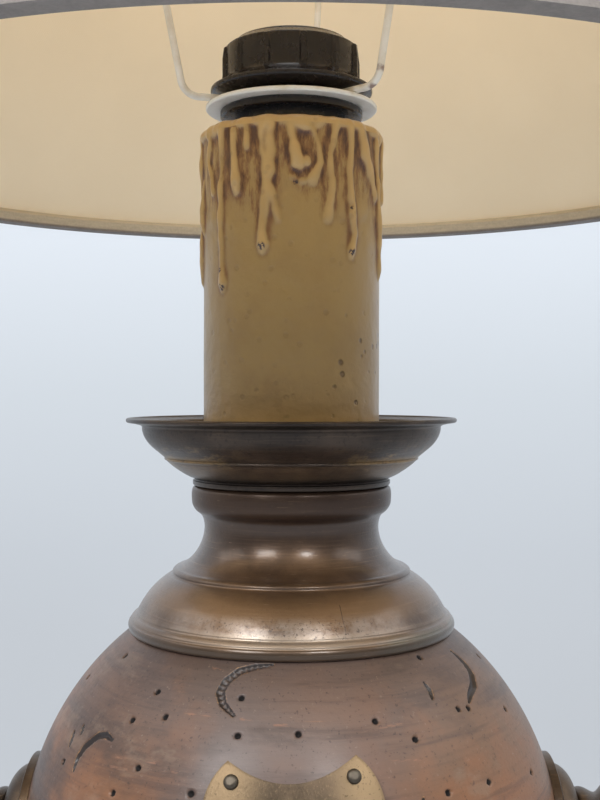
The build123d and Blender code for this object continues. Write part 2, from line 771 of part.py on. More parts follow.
# Shield plate: cut to outline and hammered to the ball's curve, then drilled for its pins
with BuildPart() as shield_plate:
    with BuildSketch(plate_plane):
        with BuildLine():
            low_z = plate_top_rise - plate_height
            right = [
                (plate_width * side_share, plate_top_rise - plate_height * drop_share)
                for side_share, drop_share in plate_outline_shares
            ]
            left = [(-x, z) for x, z in right]
            horn = plate_width * plate_horn_share
            dip = plate_top_rise - plate_height * plate_dip_share
            ThreePointArc((-horn, plate_top_rise), (0, dip), (horn, plate_top_rise))
            Spline((horn, plate_top_rise), *right, (0, low_z), tangents=((0.9, -1), (-1, -0.75)))
            Spline((-horn, plate_top_rise), *left, (0, low_z), tangents=((-0.9, -1), (1, -0.75)))
        make_face()
    extrude(amount=ball_radius + plate_thickness + cut_overrun)
    with Locations((0, 0, ball_z)):
        Sphere(ball_radius + seat_gap + plate_thickness, mode=Mode.INTERSECT)
        Sphere(ball_radius + seat_gap, mode=Mode.SUBTRACT)
    for plane in pin_planes:
        with BuildSketch(plane.offset(-plate_thickness - cut_overrun)):
            Circle(pin_shank_radius + pin_clearance)
        extrude(amount=plate_thickness + 2 * cut_overrun, mode=Mode.SUBTRACT)
pieces["shield_plate"] = shield_plate

# Domed brass pins through the plate into the ball
with BuildPart() as plate_pins:
    for plane in pin_planes:
        with BuildSketch(plane):
            Circle(pin_head_radius)
        extrude(amount=pin_head_height)
        with BuildSketch(plane):
            Circle(pin_shank_radius)
        extrude(amount=-pin_shank_length)
    heads = plate_pins.edges().filter_by(lambda edge: edge.geom_type == GeomType.CIRCLE)
    outer = [
        edge
        for edge in heads
        if abs(edge.radius - pin_head_radius) < pin_clearance
        and (edge.arc_center - Vector(0, 0, ball_z)).length
        > ball_radius + seat_gap + plate_thickness + pin_head_height / 2
    ]
    fillet(outer, pin_head_height * pin_dome_share)
pieces["plate_pins"] = plate_pins

# Turned rosettes and knobs, one on each side, held by a pin into the ball
side_axis = Axis((0, 0, ball_z), (1, 0, 0))
side_plane = Plane((0, 0, ball_z), x_dir=(1, 0, 0), z_dir=(0, -1, 0))
seat_radius = ball_radius + seat_gap
pin_hole_radius = side_pin_radius + pin_clearance
ball_edge_x = sqrt(seat_radius**2 - rosette_radius**2)
rosette_rim_x = ball_edge_x + rosette_rim_thickness
rosette_end_x = ball_edge_x + rosette_reach
with BuildPart() as rosette_right:
    with BuildSketch(side_plane):
        with BuildLine():
            seat = RadiusArc(
                (sqrt(seat_radius**2 - pin_hole_radius**2), pin_hole_radius),
                (ball_edge_x, rosette_radius),
                -seat_radius,
            )
            rim = Line(seat @ 1, (rosette_rim_x, rosette_radius))
            lip = Line(rim @ 1, (rosette_rim_x + rosette_lip_rise, rosette_lip_radius))
            step = Line(lip @ 1, (rosette_rim_x + rosette_lip_rise, rosette_step_radius))
            dome = TangentArc(step @ 1, (rosette_end_x, rosette_neck_radius), tangent=(1, -0.15))
            Polyline(dome @ 1, (rosette_end_x, pin_hole_radius), seat @ 0)
        make_face()
    revolve(axis=side_axis)
with BuildPart() as knob_right:
    with BuildSketch(side_plane):
        with BuildLine():
            knob_end_x = rosette_end_x + knob_length
            bore_end_x = rosette_end_x + side_pin_reach + pin_clearance
            neck = Line((rosette_end_x, pin_hole_radius), (rosette_end_x, knob_neck_radius))
            swell = Spline(
                neck @ 1,
                (rosette_end_x + knob_length * knob_widest_share, knob_radius),
                (rosette_end_x + knob_length * knob_shoulder_share, knob_shoulder_radius),
                (knob_end_x, 0),
                tangents=((0.5, 1), (0, -1)),
            )
            Line(swell @ 1, (bore_end_x, 0))
            Line((bore_end_x, 0), (bore_end_x, pin_hole_radius))
            Line((bore_end_x, pin_hole_radius), neck @ 0)
        make_face()
    revolve(axis=side_axis)
pieces["rosette_right"] = rosette_right
pieces["knob_right"] = knob_right
with BuildPart() as rosette_left:
    add(mirror(rosette_right.part, about=Plane.YZ))
pieces["rosette_left"] = rosette_left
with BuildPart() as knob_left:
    add(mirror(knob_right.part, about=Plane.YZ))
pieces["knob_left"] = knob_left
with BuildPart() as knob_pins:
    for side in (1, -1):
        with BuildSketch(Plane.YZ.offset(side * (ball_radius - side_pin_depth))):
            with Locations((0, ball_z)):
                Circle(side_pin_radius)
        extrude(amount=side * (rosette_end_x + side_pin_reach - ball_radius + side_pin_depth))
pieces["knob_pins"] = knob_pins

os.makedirs("parts", exist_ok=True)
for name, piece in pieces.items():
    piece.part.label = name
    export_step(piece.part, os.path.join("parts", name + ".step"))
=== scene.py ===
import math

import bpy
import numpy as np
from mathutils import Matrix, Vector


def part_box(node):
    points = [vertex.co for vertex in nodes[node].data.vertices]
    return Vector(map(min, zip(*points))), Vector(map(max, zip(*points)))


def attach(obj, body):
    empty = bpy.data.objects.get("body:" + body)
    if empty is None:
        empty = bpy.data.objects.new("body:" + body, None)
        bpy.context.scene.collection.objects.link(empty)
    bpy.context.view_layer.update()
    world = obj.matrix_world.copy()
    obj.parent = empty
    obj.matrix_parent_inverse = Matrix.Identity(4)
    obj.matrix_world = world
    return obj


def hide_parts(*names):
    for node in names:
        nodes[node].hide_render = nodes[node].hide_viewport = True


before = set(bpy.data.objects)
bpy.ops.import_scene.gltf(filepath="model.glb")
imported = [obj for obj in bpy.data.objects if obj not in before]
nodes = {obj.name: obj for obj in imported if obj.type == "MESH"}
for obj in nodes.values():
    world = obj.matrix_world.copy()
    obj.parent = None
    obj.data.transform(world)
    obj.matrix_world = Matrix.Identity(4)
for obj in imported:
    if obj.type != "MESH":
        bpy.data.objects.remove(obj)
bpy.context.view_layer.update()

# The photograph's view: the camera stands a forearm's length in front of the lamp, level with
# the drip pan, and looks very slightly down.
ball_low, ball_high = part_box("wood_ball")
ball_z = (ball_low.z + ball_high.z) / 2
camera_right = 0.00236
camera_away = 0.315
camera_over_ball = 0.1232
camera_tilt = math.radians(0.4186)
camera_lens = 51.14
camera_data = bpy.data.cameras.new("camera")
camera_data.lens = camera_lens
camera_data.clip_start = 0.01
camera = bpy.data.objects.new("camera", camera_data)
camera.location = (camera_right, -camera_away, ball_z + camera_over_ball)
camera.rotation_euler = (math.pi / 2 - camera_tilt, 0, 0)
bpy.context.scene.collection.objects.link(camera)
bpy.context.scene.camera = camera
bpy.context.scene.view_settings.view_transform = "Standard"


# The studio: one pale sweep of paint, flat under the lamp and curved up behind it. Its paint
# shows the camera the photograph's cool pale gradient and still takes the lamp's shadow. The
# sweep's back is clear, so that the lamp can be seen from behind too.
class Wire:
    """A value in a material. Sums and products of wires and numbers add Math nodes."""

    def __init__(self, tree, socket=None):
        self.tree = tree
        self.socket = socket

    def node(self, kind, settings, inputs, output=0):
        """Adds a node: first its settings, then its sockets' numbers, colours or wires."""
        made = self.tree.nodes.new(kind)
        for name, value in settings.items():
            if name == "stops":
                ramp = made.color_ramp.elements
                for stop, (position, color) in zip((ramp[0], ramp[-1]), (value[0], value[-1])):
                    stop.position = position
                    stop.color = color
                for position, color in value[1:-1]:
                    ramp.new(position).color = color
            else:
                setattr(made, name, value)
        for key, value in inputs.items():
            if isinstance(value, Wire):
                self.tree.links.new(value.socket, made.inputs[key])
            else:
                made.inputs[key].default_value = value
        return Wire(self.tree, made.outputs[output])

    def maths(self, operation, *values):
        """A Math node whose first value is this one."""
        inputs = dict(enumerate((self, *values)))
        return self.node("ShaderNodeMath", {"operation": operation}, inputs)

    def vector(self, operation, *values, output=0):
        """A Vector Math node whose first value is this one."""
        inputs = dict(enumerate((self, *values)))
        return self.node("ShaderNodeVectorMath", {"operation": operation}, inputs, output)

    def __add__(self, other):
        return self.maths("ADD", other)

    def __sub__(self, other):
        return self.maths("SUBTRACT", other)

    def __rsub__(self, other):
        return self.node("ShaderNodeMath", {"operation": "SUBTRACT"}, {0: other, 1: self})

    def __mul__(self, other):
        return self.maths("MULTIPLY", other)

    def __abs__(self):
        return self.maths("ABSOLUTE")

    __radd__ = __add__
    __rmul__ = __mul__

    def step(self, low, high):
        """0 below low, 1 above high, and a smooth rise between them."""
        span = {"Value": self, "From Min": low, "From Max": high}
        return self.node("ShaderNodeMapRange", {"interpolation_type": "SMOOTHSTEP"}, span)

    def band(self, low, full, fall, high):
        """1 from full to fall, and 0 below low and above high."""
        return self.step(low, full) * (1 - self.step(fall, high))

    def mix(self, low, high):
        """The colour low where this value is 0, and high where it is 1."""
        return self.node("ShaderNodeMix", {"data_type": "RGBA"}, {0: self, 6: low, 7: high}, 2)

    def part(self, axis):
        """One of the coordinates X, Y and Z of a place."""
        return self.node("ShaderNodeSeparateXYZ", {}, {0: self}, axis)

    def scaled(self, scale, shift=(0, 0, 0)):
        """A place moved by shift and then stretched by scale."""
        return self.vector("ADD", shift).vector("MULTIPLY", scale)

    def gap_to(self, spot):
        """Distance from a spot."""
        return self.vector("DISTANCE", spot, output="Value")

    def named(self, name):
        """The value that the mesh's points carry under a name."""
        return self.node("ShaderNodeAttribute", {"attribute_name": name}, {}, "Fac")

    def cloud(self, scale, detail=4.0, roughness=0.55):
        """Soft noise from 0 to 1, about a place."""
        inputs = {"Vector": self, "Scale": scale, "Detail": detail, "Roughness": roughness}
        return self.node("ShaderNodeTexNoise", {}, inputs, "Fac")

    def cells(self, scale):
        """Distance from the nearest of many scattered spots."""
        inputs = {"Vector": self, "Scale": scale}
        return self.node("ShaderNodeTexVoronoi", {"feature": "F1"}, inputs, "Distance")

    def bump(self, distance, strength=1.0):
        """A surface direction from a height of 0 to 1, raised by distance in metres."""
        inputs = {"Height": self, "Distance": distance, "Strength": strength}
        return self.node("ShaderNodeBump", {}, inputs, "Normal")

    def into(self, shader, name):
        self.tree.links.new(self.socket, shader.inputs[name])


def new_finish(name):
    """An empty material and the place of each point on the object."""
    material = bpy.data.materials.new(name)
    material.use_nodes = True
    return material, Wire(material.node_tree).node("ShaderNodeTexCoord", {}, {}, "Object")


def fill(material, **values):
    """Sets a shader's inputs to wires or numbers: base_color sets its Base Color, and so on."""
    shader = material.node_tree.nodes["Principled BSDF"]
    for name, value in values.items():
        socket = name.replace("_", " ").title()
        if isinstance(value, Wire):
            value.into(shader, socket)
        else:
            shader.inputs[socket].default_value = value


def tone(red, green, blue):
    """A colour in screen values from 0 to 255, made linear for a shader."""
    part = np.array([red, green, blue]) / 255
    linear = np.where(part > 0.04045, ((part + 0.055) / 1.055) ** 2.4, part / 12.92)
    return (*linear.tolist(), 1.0)


def coats(color, *layers):
    """A colour under layers of paint: where each lies, how strongly, and its screen values."""
    for where, strength, *paint in layers:
        color = (where * strength).mix(color, tone(*paint))
    return color


def grid_faces(grid):
    """The four corners of each cell of a grid."""
    corners = [grid[:-1, :-1], grid[:-1, 1:], grid[1:, 1:], grid[1:, :-1]]
    return np.stack(corners, axis=2).reshape(-1, 4, *grid.shape[2:])


def surface(
    name, places, close_rows=False, close_columns=True, inside=(0, 0, 0), uv=None, sharp=38.0
):
    """A mesh over a grid of places (rows, columns, 3), which can close on itself both ways.

    A row that shrinks to one point becomes one vertex. Faces point away from inside.
    """
    rows, columns = places.shape[:2]
    pole = np.ptp(places, axis=1).max(axis=1) < 1e-7
    index = np.arange(rows * columns).reshape(rows, columns)
    index[pole] = index[pole][:, :1]
    used, index = np.unique(index, return_inverse=True)
    index = index.reshape(rows, columns)
    points = places.reshape(-1, 3)[used]
    if close_columns:
        index = np.hstack([index, index[:, :1]])
    if close_rows:
        index = np.vstack([index, index[:1]])
    corners = grid_faces(index)
    spokes = points[corners] - np.array(inside)
    turns = np.cross(spokes[:, 1] - spokes[:, 0], spokes[:, 2] - spokes[:, 0])
    turns += np.cross(spokes[:, 2] - spokes[:, 0], spokes[:, 3] - spokes[:, 0])
    order = [0, 1, 2, 3] if (turns * spokes[:, 0]).sum() > 0 else [3, 2, 1, 0]
    corners = corners[:, order]
    kept = corners != np.roll(corners, 1, axis=1)
    counts = kept.sum(axis=1)
    mesh = bpy.data.meshes.new(name)
    mesh.vertices.add(len(points))
    mesh.vertices.foreach_set("co", points.astype(np.float32).ravel())
    mesh.loops.add(int(counts.sum()))
    mesh.loops.foreach_set("vertex_index", corners[kept].astype(np.int32))
    mesh.polygons.add(len(counts))
    mesh.polygons.foreach_set("loop_start", np.cumsum(counts) - counts)
    mesh.polygons.foreach_set("use_smooth", np.ones(len(counts), bool))
    if uv is not None:
        at = grid_faces(uv)[:, order]
        layer = mesh.uv_layers.new(name="cloth")
        layer.data.foreach_set("uv", at[kept].astype(np.float32).ravel())
    mesh.update(calc_edges=True)
    mesh.validate()
    mesh.set_sharp_from_angle(angle=math.radians(sharp))
    piece = bpy.data.objects.new(name, mesh)
    bpy.context.scene.collection.objects.link(piece)
    return piece, used


sweep_half_width = 5.0
sweep_front = -5.0
sweep_back = 0.95
sweep_bend = 0.45
sweep_top = 2.4
bend_turn = np.linspace(0, math.pi / 2, 24)
sweep_y = np.concatenate([
    [sweep_front], sweep_back - sweep_bend + sweep_bend * np.sin(bend_turn), [sweep_back]
])
sweep_z = np.concatenate([[0], sweep_bend - sweep_bend * np.cos(bend_turn), [sweep_top]])
sweep_x = (-sweep_half_width, sweep_half_width)
sweep_grid = np.array([[(x, y, z) for x in sweep_x] for y, z in zip(sweep_y, sweep_z)])
sweep = surface("studio_sweep", sweep_grid, close_columns=False, inside=(0, 5, -5), sharp=180)[0]
paint, place = new_finish("studio_paint")
height = place.part("Z")
sky = height.node("ShaderNodeValToRGB", {"stops": [
    (0.0, tone(196, 201, 207)),
    (0.10, tone(200, 206, 213)),
    (0.26, tone(212, 219, 226)),
    (0.42, tone(228, 235, 243)),
    (1.0, tone(231, 236, 244)),
]}, {0: height}, "Color")
seen = place.node("ShaderNodeLightPath", {}, {}, "Is Camera Ray")
mirrored = place.node("ShaderNodeLightPath", {}, {}, "Is Glossy Ray")
glow = place.node("ShaderNodeEmission", {}, {"Color": sky}, "Emission")
plain = place.node("ShaderNodeBsdfDiffuse", {}, {"Color": sky}, "BSDF")
both = place.node("ShaderNodeMixShader", {}, {0: (seen + mirrored) * 0.75, 1: plain, 2: glow}, "Shader")
clear = place.node("ShaderNodeBsdfTransparent", {}, {}, "BSDF")
back_side = place.node("ShaderNodeNewGeometry", {}, {}, "Backfacing")
both = place.node("ShaderNodeMixShader", {}, {0: back_side, 1: both, 2: clear}, "Shader")
both.into(paint.node_tree.nodes["Material Output"], "Surface")
sweep.data.materials.append(paint)

world = bpy.data.worlds.new("studio_air")
bpy.context.scene.world = world
world.use_nodes = True
air = Wire(world.node_tree)
aim = air.node("ShaderNodeTexCoord", {}, {}, "Generated")
behind = aim.part("Y").step(-0.7, 0.5)
daylight = behind.mix(tone(136, 137, 140), tone(232, 236, 242))
seen = air.node("ShaderNodeLightPath", {}, {}, "Is Camera Ray")
background = world.node_tree.nodes["Background"]
seen.mix(daylight, tone(218, 225, 233)).into(background, "Color")
(seen * 0.2 + 0.8).into(background, "Strength")

# The light: two windows and two bright walls to the sides and a ceiling, all of them square soft
# lamps that face the lamp's middle.
light_aim = 0.25
light_away = 1.5
for name, around, above, width, power in (
    ("left_window", -34, 37, 0.5, 10.0),
    ("right_window", 21, 37, 0.28, 6.5),
    ("left_wall", -86, 40, 0.95, 4.0),
    ("right_wall", 82, 40, 0.95, 4.6),
    ("ceiling", 0, 67, 0.9, 13.0),
):
    around, above = math.radians(around), math.radians(above)
    flat = light_away * math.cos(above)
    height = light_aim + light_away * math.sin(above)
    data = bpy.data.lights.new(name, "AREA")
    data.size = width
    data.energy = power
    lamp = bpy.data.objects.new(name, data)
    lamp.location = (flat * math.sin(around), -flat * math.cos(around), height)
    lamp.rotation_euler = (math.pi / 2 - above, 0, around)
    bpy.context.scene.collection.objects.link(lamp)


# The felt pad glued under the foot: dark green pressed wool, matt and slightly hairy. The iron
# weight above it is a raw casting that no one sees.
def mottled(name, noise, tones, rough, names, relief=None, metallic=0.0):
    """A finish for CAD pieces: one noise mottles its two tones, its roughness and its relief.

    Rough is the least roughness and how much the noise adds.
    """
    material, place = new_finish(name)
    spots = place.cloud(*noise)
    color = spots.mix(tone(*tones[0]), tone(*tones[1]))
    roughness = rough[0] + spots * rough[1] if rough[1] else rough[0]
    fill(material, base_color=color, roughness=roughness, metallic=metallic)
    if relief:
        fill(material, normal=spots.bump(*relief))
    for node in names:
        nodes[node].material_slots[0].material = material
    return material, place


mottled(
    "green_felt", (900.0, 3.0), ((24, 34, 28), (48, 62, 52)), (1.0, 0.0), ["felt_pad"], (0.0004,)
)
mottled(
    "raw_iron", (420.0, 6.0, 0.7), ((40, 38, 37), (84, 80, 76)), (0.65, 0.0), ["base_weight"],
    (0.0005,), 0.8,
)

# The threaded tube that runs up the lamp, with its washers, hexagon nuts and side pins: plain
# turned steel, zinc plated, dulled in patches.
zinc, place = mottled(
    "dull_zinc", (160.0, 5.0), ((128, 128, 124), (176, 176, 170)), (0.3, 0.3),
    ["threaded_tube", "foot_washer", "foot_nut", "pan_washer", "pan_nut", "lock_nut", "knob_pins"],
    metallic=0.92,
)
fill(zinc, normal=place.scaled((1, 1, 18)).cloud(300.0).bump(0.0001))


# The turned foot: the same wood as the ball, stained darker and waxed, with the fine rings
# that the lathe leaves.
def stained_wood(place, dark, body, warm):
    """Colour and height of turned, stained wood: lathe rings, long grain, blotches of stain."""
    blotch = place.cloud(17.0, 4.0)
    rings = place.scaled((1, 1, 26)).cloud(38.0, 6.0, 0.6)
    fiber = place.scaled((1, 9, 9)).cloud(120.0, 4.0, 0.65)
    color = blotch.step(0.4, 0.62).mix(tone(*body), tone(*warm))
    color = coats(color, (rings.step(0.46, 0.7), 0.42, *dark), (fiber.step(0.55, 0.75), 0.35, *dark))
    return color, rings * 0.6 + fiber * 0.4


foot_wood, place = new_finish("dark_foot_wood")
color, grain = stained_wood(place, (44, 33, 27), (76, 58, 47), (98, 71, 52))
fill(foot_wood, base_color=color, normal=grain.bump(0.0004, 0.6), roughness=0.34 + grain * 0.25)
nodes["wood_foot"].material_slots[0].material = foot_wood

# The cord inlet at the back of the foot: a flanged bush of black moulded plastic. The same
# plastic makes the lampholder's cap.
plastic = mottled(
    "black_moulding", (240.0, 4.0), ((20, 17, 19), (31, 26, 28)), (0.18, 0.18),
    ["cord_bush", "holder_cap"], (0.00005, 0.5),
)[0]


# The spun collar that carries the ball, in the same aged metal as the rosettes and knobs on the
# ball's sides: brown lacquered brass, rubbed on its edges and dark in its hollows.
def aged_metal(place, dark, body, bright, size=1.0):
    """Colour, roughness and height of old spun metal with lathe lines, stains and specks."""
    stain = place.cloud(34.0 / size, 5.0, 0.62)
    lines = place.scaled((1, 1, 30)).cloud(60.0 / size, 5.0, 0.6)
    specks = place.cloud(1500.0, 3.0, 0.6)
    color = stain.step(0.36, 0.7).mix(tone(*dark), tone(*body))
    color = coats(color, (lines.step(0.5, 0.8), 0.4, *bright), (specks.step(0.62, 0.75), 0.35, *dark))
    rough = 0.26 + stain * 0.16 + specks.step(0.5, 0.8) * 0.14
    return color, rough, lines * 0.5 + specks * 0.5


brass, place = new_finish("aged_brass")
color, rough, relief = aged_metal(place, (70, 58, 48), (112, 92, 72), (150, 124, 92))
fill(brass, base_color=color, roughness=rough, normal=relief.bump(0.0002, 0.5), metallic=0.85)
for name in ("foot_collar", "rosette_left", "rosette_right", "knob_left", "knob_right"):
    nodes[name].material_slots[0].material = brass

# The ball: one block of wood turned to a sphere, stained grey-brown, then made to look old with
# drilled worm holes, carved gouges and rubbed streaks.
ball_radius = 0.073
hole_radius = 0.00078
hole_depth = 0.0011
worm_holes = [
    (-62.8, 48.8), (-76.2, 40.4), (-37.6, 44.1), (-40.8, 37.7), (-31.5, 39.7), (-33.7, 29.7),
    (-58.7, 25.6), (-38.2, 24.4), (-19.9, 27.0), (-12.7, 45.1), (2.0, 38.4), (-11.9, 37.8),
    (20.8, 40.0), (29.5, 35.6), (46.2, 39.1), (50.0, 38.6), (33.5, 25.3), (45.5, 24.9),
    (63.5, 22.2), (66.8, 34.8), (79.4, 45.4), (44.9, 51.4),
]
gouges = [
    [(-44.2, 33.2), (-47.0, 33.6), (-49.6, 32.9), (-52.6, 30.0), (-53.4, 27.6), (-53.0, 25.4)],
    [
        (-5.5, 52.6), (-10.5, 52.0), (-15.2, 50.8), (-18.2, 48.4),
        (-18.9, 46.0), (-17.2, 43.6), (-13.8, 41.6),
    ],
    [(62.6, 50.2), (63.6, 47.0), (62.6, 44.4), (59.0, 42.2), (54.6, 41.0), (51.6, 39.6)],
    [(39.9, 45.9), (40.2, 44.2), (39.6, 42.4)],
    [(-60.5, 31.5), (-59.0, 28.4)],
    [(-57.6, 33.4), (-56.6, 31.6)],
    [(27.5, 25.6), (27.0, 22.8)],
]
scuffs = [
    [(-26.6, 40.8), (-18.0, 41.2)], [(-11.9, 41.0), (-8.9, 40.7)], [(-3.6, 40.1), (-0.3, 40.1)],
    [(-40.9, 30.5), (-29.6, 31.2)], [(-27.4, 30.2), (-23.8, 30.3)], [(21.2, 32.4), (29.5, 31.8)],
    [(-43.8, 28.4), (-36.2, 28.9)], [(20.8, 38.6), (27.5, 38.8)], [(-24.0, 51.0), (-18.8, 50.4)],
    [(-64.0, 49.9), (-57.0, 50.3)],
]


def on_ball(azimuth, elevation):
    """Unit direction from the ball's centre: azimuth from the front towards +X, in degrees."""
    a, e = np.radians(azimuth), np.radians(elevation)
    return np.stack([np.sin(a) * np.cos(e), -np.cos(a) * np.cos(e), np.sin(e)], axis=-1)


def nearest_stroke(directions, strokes):
    """Distance over the ball to the nearest stroke, that stroke's number, and the way along it.

    A stroke is a row of places. The way along is the length to the nearest spot, in metres, and
    its share of the stroke's whole length.
    """
    best = np.full(directions.shape[:-1], 1.0)
    number = np.zeros(best.shape, int)
    way, share = np.zeros_like(best), np.zeros_like(best)
    for index, stroke in enumerate(strokes):
        ends = on_ball(*np.array(stroke, float).T) * ball_radius
        lengths = np.linalg.norm(np.diff(ends, axis=0), axis=1)
        gone = 0.0
        for begin, end, length in zip(ends[:-1], ends[1:], lengths):
            spoke = directions * ball_radius - begin
            along = np.clip(spoke @ (end - begin) / length ** 2, 0, 1)
            gap = np.linalg.norm(spoke - along[..., None] * (end - begin), axis=-1)
            nearer = gap < best
            best = np.where(nearer, gap, best)
            number = np.where(nearer, index, number)
            way = np.where(nearer, gone + along * length, way)
            share = np.where(nearer, (gone + along * length) / lengths.sum(), share)
            gone += length
    return best, number, way, share


def mark(piece, used, **layers):
    """Gives the points of a mesh one value per layer, for its material."""
    for name, values in layers.items():
        layer = piece.data.attributes.new(name, "FLOAT", "POINT")
        layer.data.foreach_set("value", values.reshape(-1)[used].astype(np.float32))


rows_low = np.linspace(-90, 20, 42, endpoint=False)
rows_fine = np.arange(20, 55, 0.26)
rows_high = np.linspace(55.5, 90, 12)
elevations = np.concatenate([rows_low, rows_fine, rows_high])
azimuths = np.concatenate([np.arange(-92, 92, 0.42), np.arange(92, 268, 2.9)])
azimuth_grid, elevation_grid = np.meshgrid(azimuths, elevations)
directions = on_ball(azimuth_grid, elevation_grid)
hole_gap = np.min([
    np.linalg.norm(directions - on_ball(*spot), axis=-1) * ball_radius for spot in worm_holes
], axis=0)
hole_dent = np.clip(1 - (hole_gap / hole_radius) ** 2, 0, 1) ** 0.5
gouge_half_widths = np.array([1.0, 1.15, 1.2, 0.6, 0.6, 0.5, 0.45]) / 1000
gouge_depth = 0.0009
tooth_pitch = 0.0014
toothed_gouge = 1
gouge_gap, gouge_number, gouge_way, gouge_share = nearest_stroke(directions, gouges)
gouge_half = gouge_half_widths[gouge_number] * np.sin(math.pi * gouge_share).clip(0.08) ** 0.4
gouge_band = np.clip(1 - (gouge_gap / gouge_half) ** 2, 0, 1)
tooth = 0.5 + 0.5 * np.cos(2 * math.pi * gouge_way / tooth_pitch)
tooth = np.where(gouge_number == toothed_gouge, tooth, 1.0)
gouge_dent = gouge_band * (0.55 + 0.45 * tooth)
scuff_half_width = 0.0007
scuff_gap = nearest_stroke(directions, scuffs)[0]
radii = ball_radius - hole_depth * hole_dent - gouge_depth * gouge_dent
ball_places = directions * radii[..., None] + np.array([0, 0, ball_z])
ball_places[0] = (0, 0, ball_z - ball_radius)
ball_places[-1] = (0, 0, ball_z + ball_radius)
ball, used = surface("turned_ball", ball_places, inside=(0, 0, ball_z), sharp=180)
scuff_share = np.clip(1 - scuff_gap / scuff_half_width, 0, 1)
mark(ball, used, gouge=gouge_band, tooth=tooth, scuff=scuff_share)

wood, place = new_finish("worm_eaten_ball_wood")
local = place.scaled((1, 1, 1), (0, 0, -ball_z))
aim = local.vector("NORMALIZE")
color, grain = stained_wood(local, (58, 41, 33), (92, 67, 53), (116, 82, 58))
# The ball's front middle, where the ruddy stain thins and a grey sheen is painted.
middle = 1 - abs(local.part("X")).step(0.010, 0.04)
ruddy = local.cloud(26.0, 5.0, 0.6).step(0.46, 0.64) * (1 - middle * 0.8)
lathe = local.scaled((1, 1, 14)).cloud(20.0, 5.0, 0.65)
streak = local.scaled((1, 1, 34)).cloud(30.0, 4.0, 0.7).step(0.62, 0.74)
broken = local.scaled((1, 1, 5)).cloud(420.0, 3.0).step(0.46, 0.62)
dust = local.cloud(900.0, 3.0, 0.7)
nearest = aim.gap_to(on_ball(*worm_holes[0]).tolist())
for spot in worm_holes[1:]:
    nearest = nearest.maths("MINIMUM", aim.gap_to(on_ball(*spot).tolist()))
unmapped = 1 - local.part("Z").step(0.018, 0.024) * (1 - local.part("Y").step(0.0, 0.006))
far_hole = (1 - aim.cells(5.8).step(0.045, 0.066)) * unmapped
hole = 1 - (nearest * ball_radius).step(hole_radius * 0.8, hole_radius * 1.2)
hole = hole.maths("MAXIMUM", far_hole)
gouge = place.named("gouge")
# Greyer wood in the gouges; their darker walls and ticks are painted shade in the cuts.
cut = gouge.step(0.02, 0.3)
notch = cut * (1 - gouge.step(0.45, 0.8)) + cut * place.named("tooth")
chipped = local.cloud(700.0, 3.0, 0.6).step(0.3, 0.62)
color = coats(
    color,
    (local.part("X").step(0.0, 0.06), 0.6, 128, 98, 72),
    # Greyer down the front middle: painted sheen reflecting the light in front.
    (middle, 0.6, 114, 101, 97),
    (ruddy, 0.75, 142, 94, 60),
    (local.scaled((1, 1, 3)).cloud(16.0, 5.0, 0.65).step(0.5, 0.64), 0.6, 58, 42, 35),
    (local.scaled((1, 1, 2)).cloud(34.0, 5.0, 0.7).step(0.56, 0.68), 0.4, 142, 118, 98),
    # Darker over the ball's top: painted shade under the bell.
    (local.part("Z").step(0.048, 0.060), 0.5, 68, 52, 44),
    (lathe.step(0.5, 0.66), 0.45, 64, 48, 42),
    (streak * local.cloud(55.0, 3.0).step(0.52, 0.66), 0.5, 160, 112, 80),
    (place.named("scuff").step(0.3, 0.9) * broken, 0.5, 168, 116, 88),
    (dust.step(0.6, 0.7), 0.55, 46, 34, 30),
    ((1 - dust).step(0.63, 0.74), 0.35, 156, 134, 118),
    (cut, 0.5, 88, 76, 70),
    (notch.maths("MINIMUM", 1.0), 0.88, 32, 23, 21),
    (gouge.band(0.001, 0.03, 0.04, 0.2) * (1 - chipped), 0.7, 176, 132, 84),
    # Near black in the worm holes, both the dented ones and those painted where the mesh has none:
    # painted shade of their depth.
    (hole, 1.0, 20, 15, 14),
)
relief = grain * 0.35 + dust * 0.3 + lathe * 0.3 - far_hole * 2.5
fill(
    wood, base_color=color, roughness=0.36 + grain * 0.16 + dust * 0.1 + hole * 0.3,
    coat_weight=0.3 - hole * 0.3, coat_roughness=0.26, normal=relief.bump(0.0003, 0.7),
)
ball.data.materials.append(wood)
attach(ball, "lamp")
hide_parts("wood_ball")

# The shield on the ball's front: thin sheet brass cut with two horns and a dip between them,
# hammered to the ball, left bare, with three domed pins.
plate_width = 0.043
plate_height = 0.062
plate_top_rise = 0.041
plate_shift = 0.002
plate_tilt = math.radians(2.0)
plate_seat = ball_radius + 0.0001
plate_thickness = 0.0011
plate_side_shares = [
    (0.335, 0.0), (0.43, 0.07), (0.475, 0.15), (0.5, 0.34), (0.46, 0.55), (0.34, 0.75),
    (0.17, 0.91), (0.0, 1.0),
]
plate_dip_share = 0.072


def curve(points, steps=10):
    """A smooth line through points: cubic spans whose slopes follow the neighbouring points."""
    p = np.array(points, float)
    if len(p) == 2:
        return p
    gaps = np.linalg.norm(np.diff(p, axis=0), axis=1) ** 0.5
    t = np.concatenate([[0], np.cumsum(gaps)])
    slope = np.gradient(p, t, axis=0, edge_order=2)
    spans = [np.linspace(a, b, steps, endpoint=False) for a, b in zip(t[:-1], t[1:])]
    fine = np.concatenate(spans + [t[-1:]])
    i = np.clip(np.searchsorted(t, fine, side="right") - 1, 0, len(p) - 2)
    h = (t[i + 1] - t[i])[:, None]
    s = (fine - t[i])[:, None] / h
    return (
        p[i] * (1 + 2 * s) * (1 - s) ** 2
        + slope[i] * h * s * (1 - s) ** 2
        + p[i + 1] * s ** 2 * (3 - 2 * s)
        + slope[i + 1] * h * s ** 2 * (s - 1)
    )


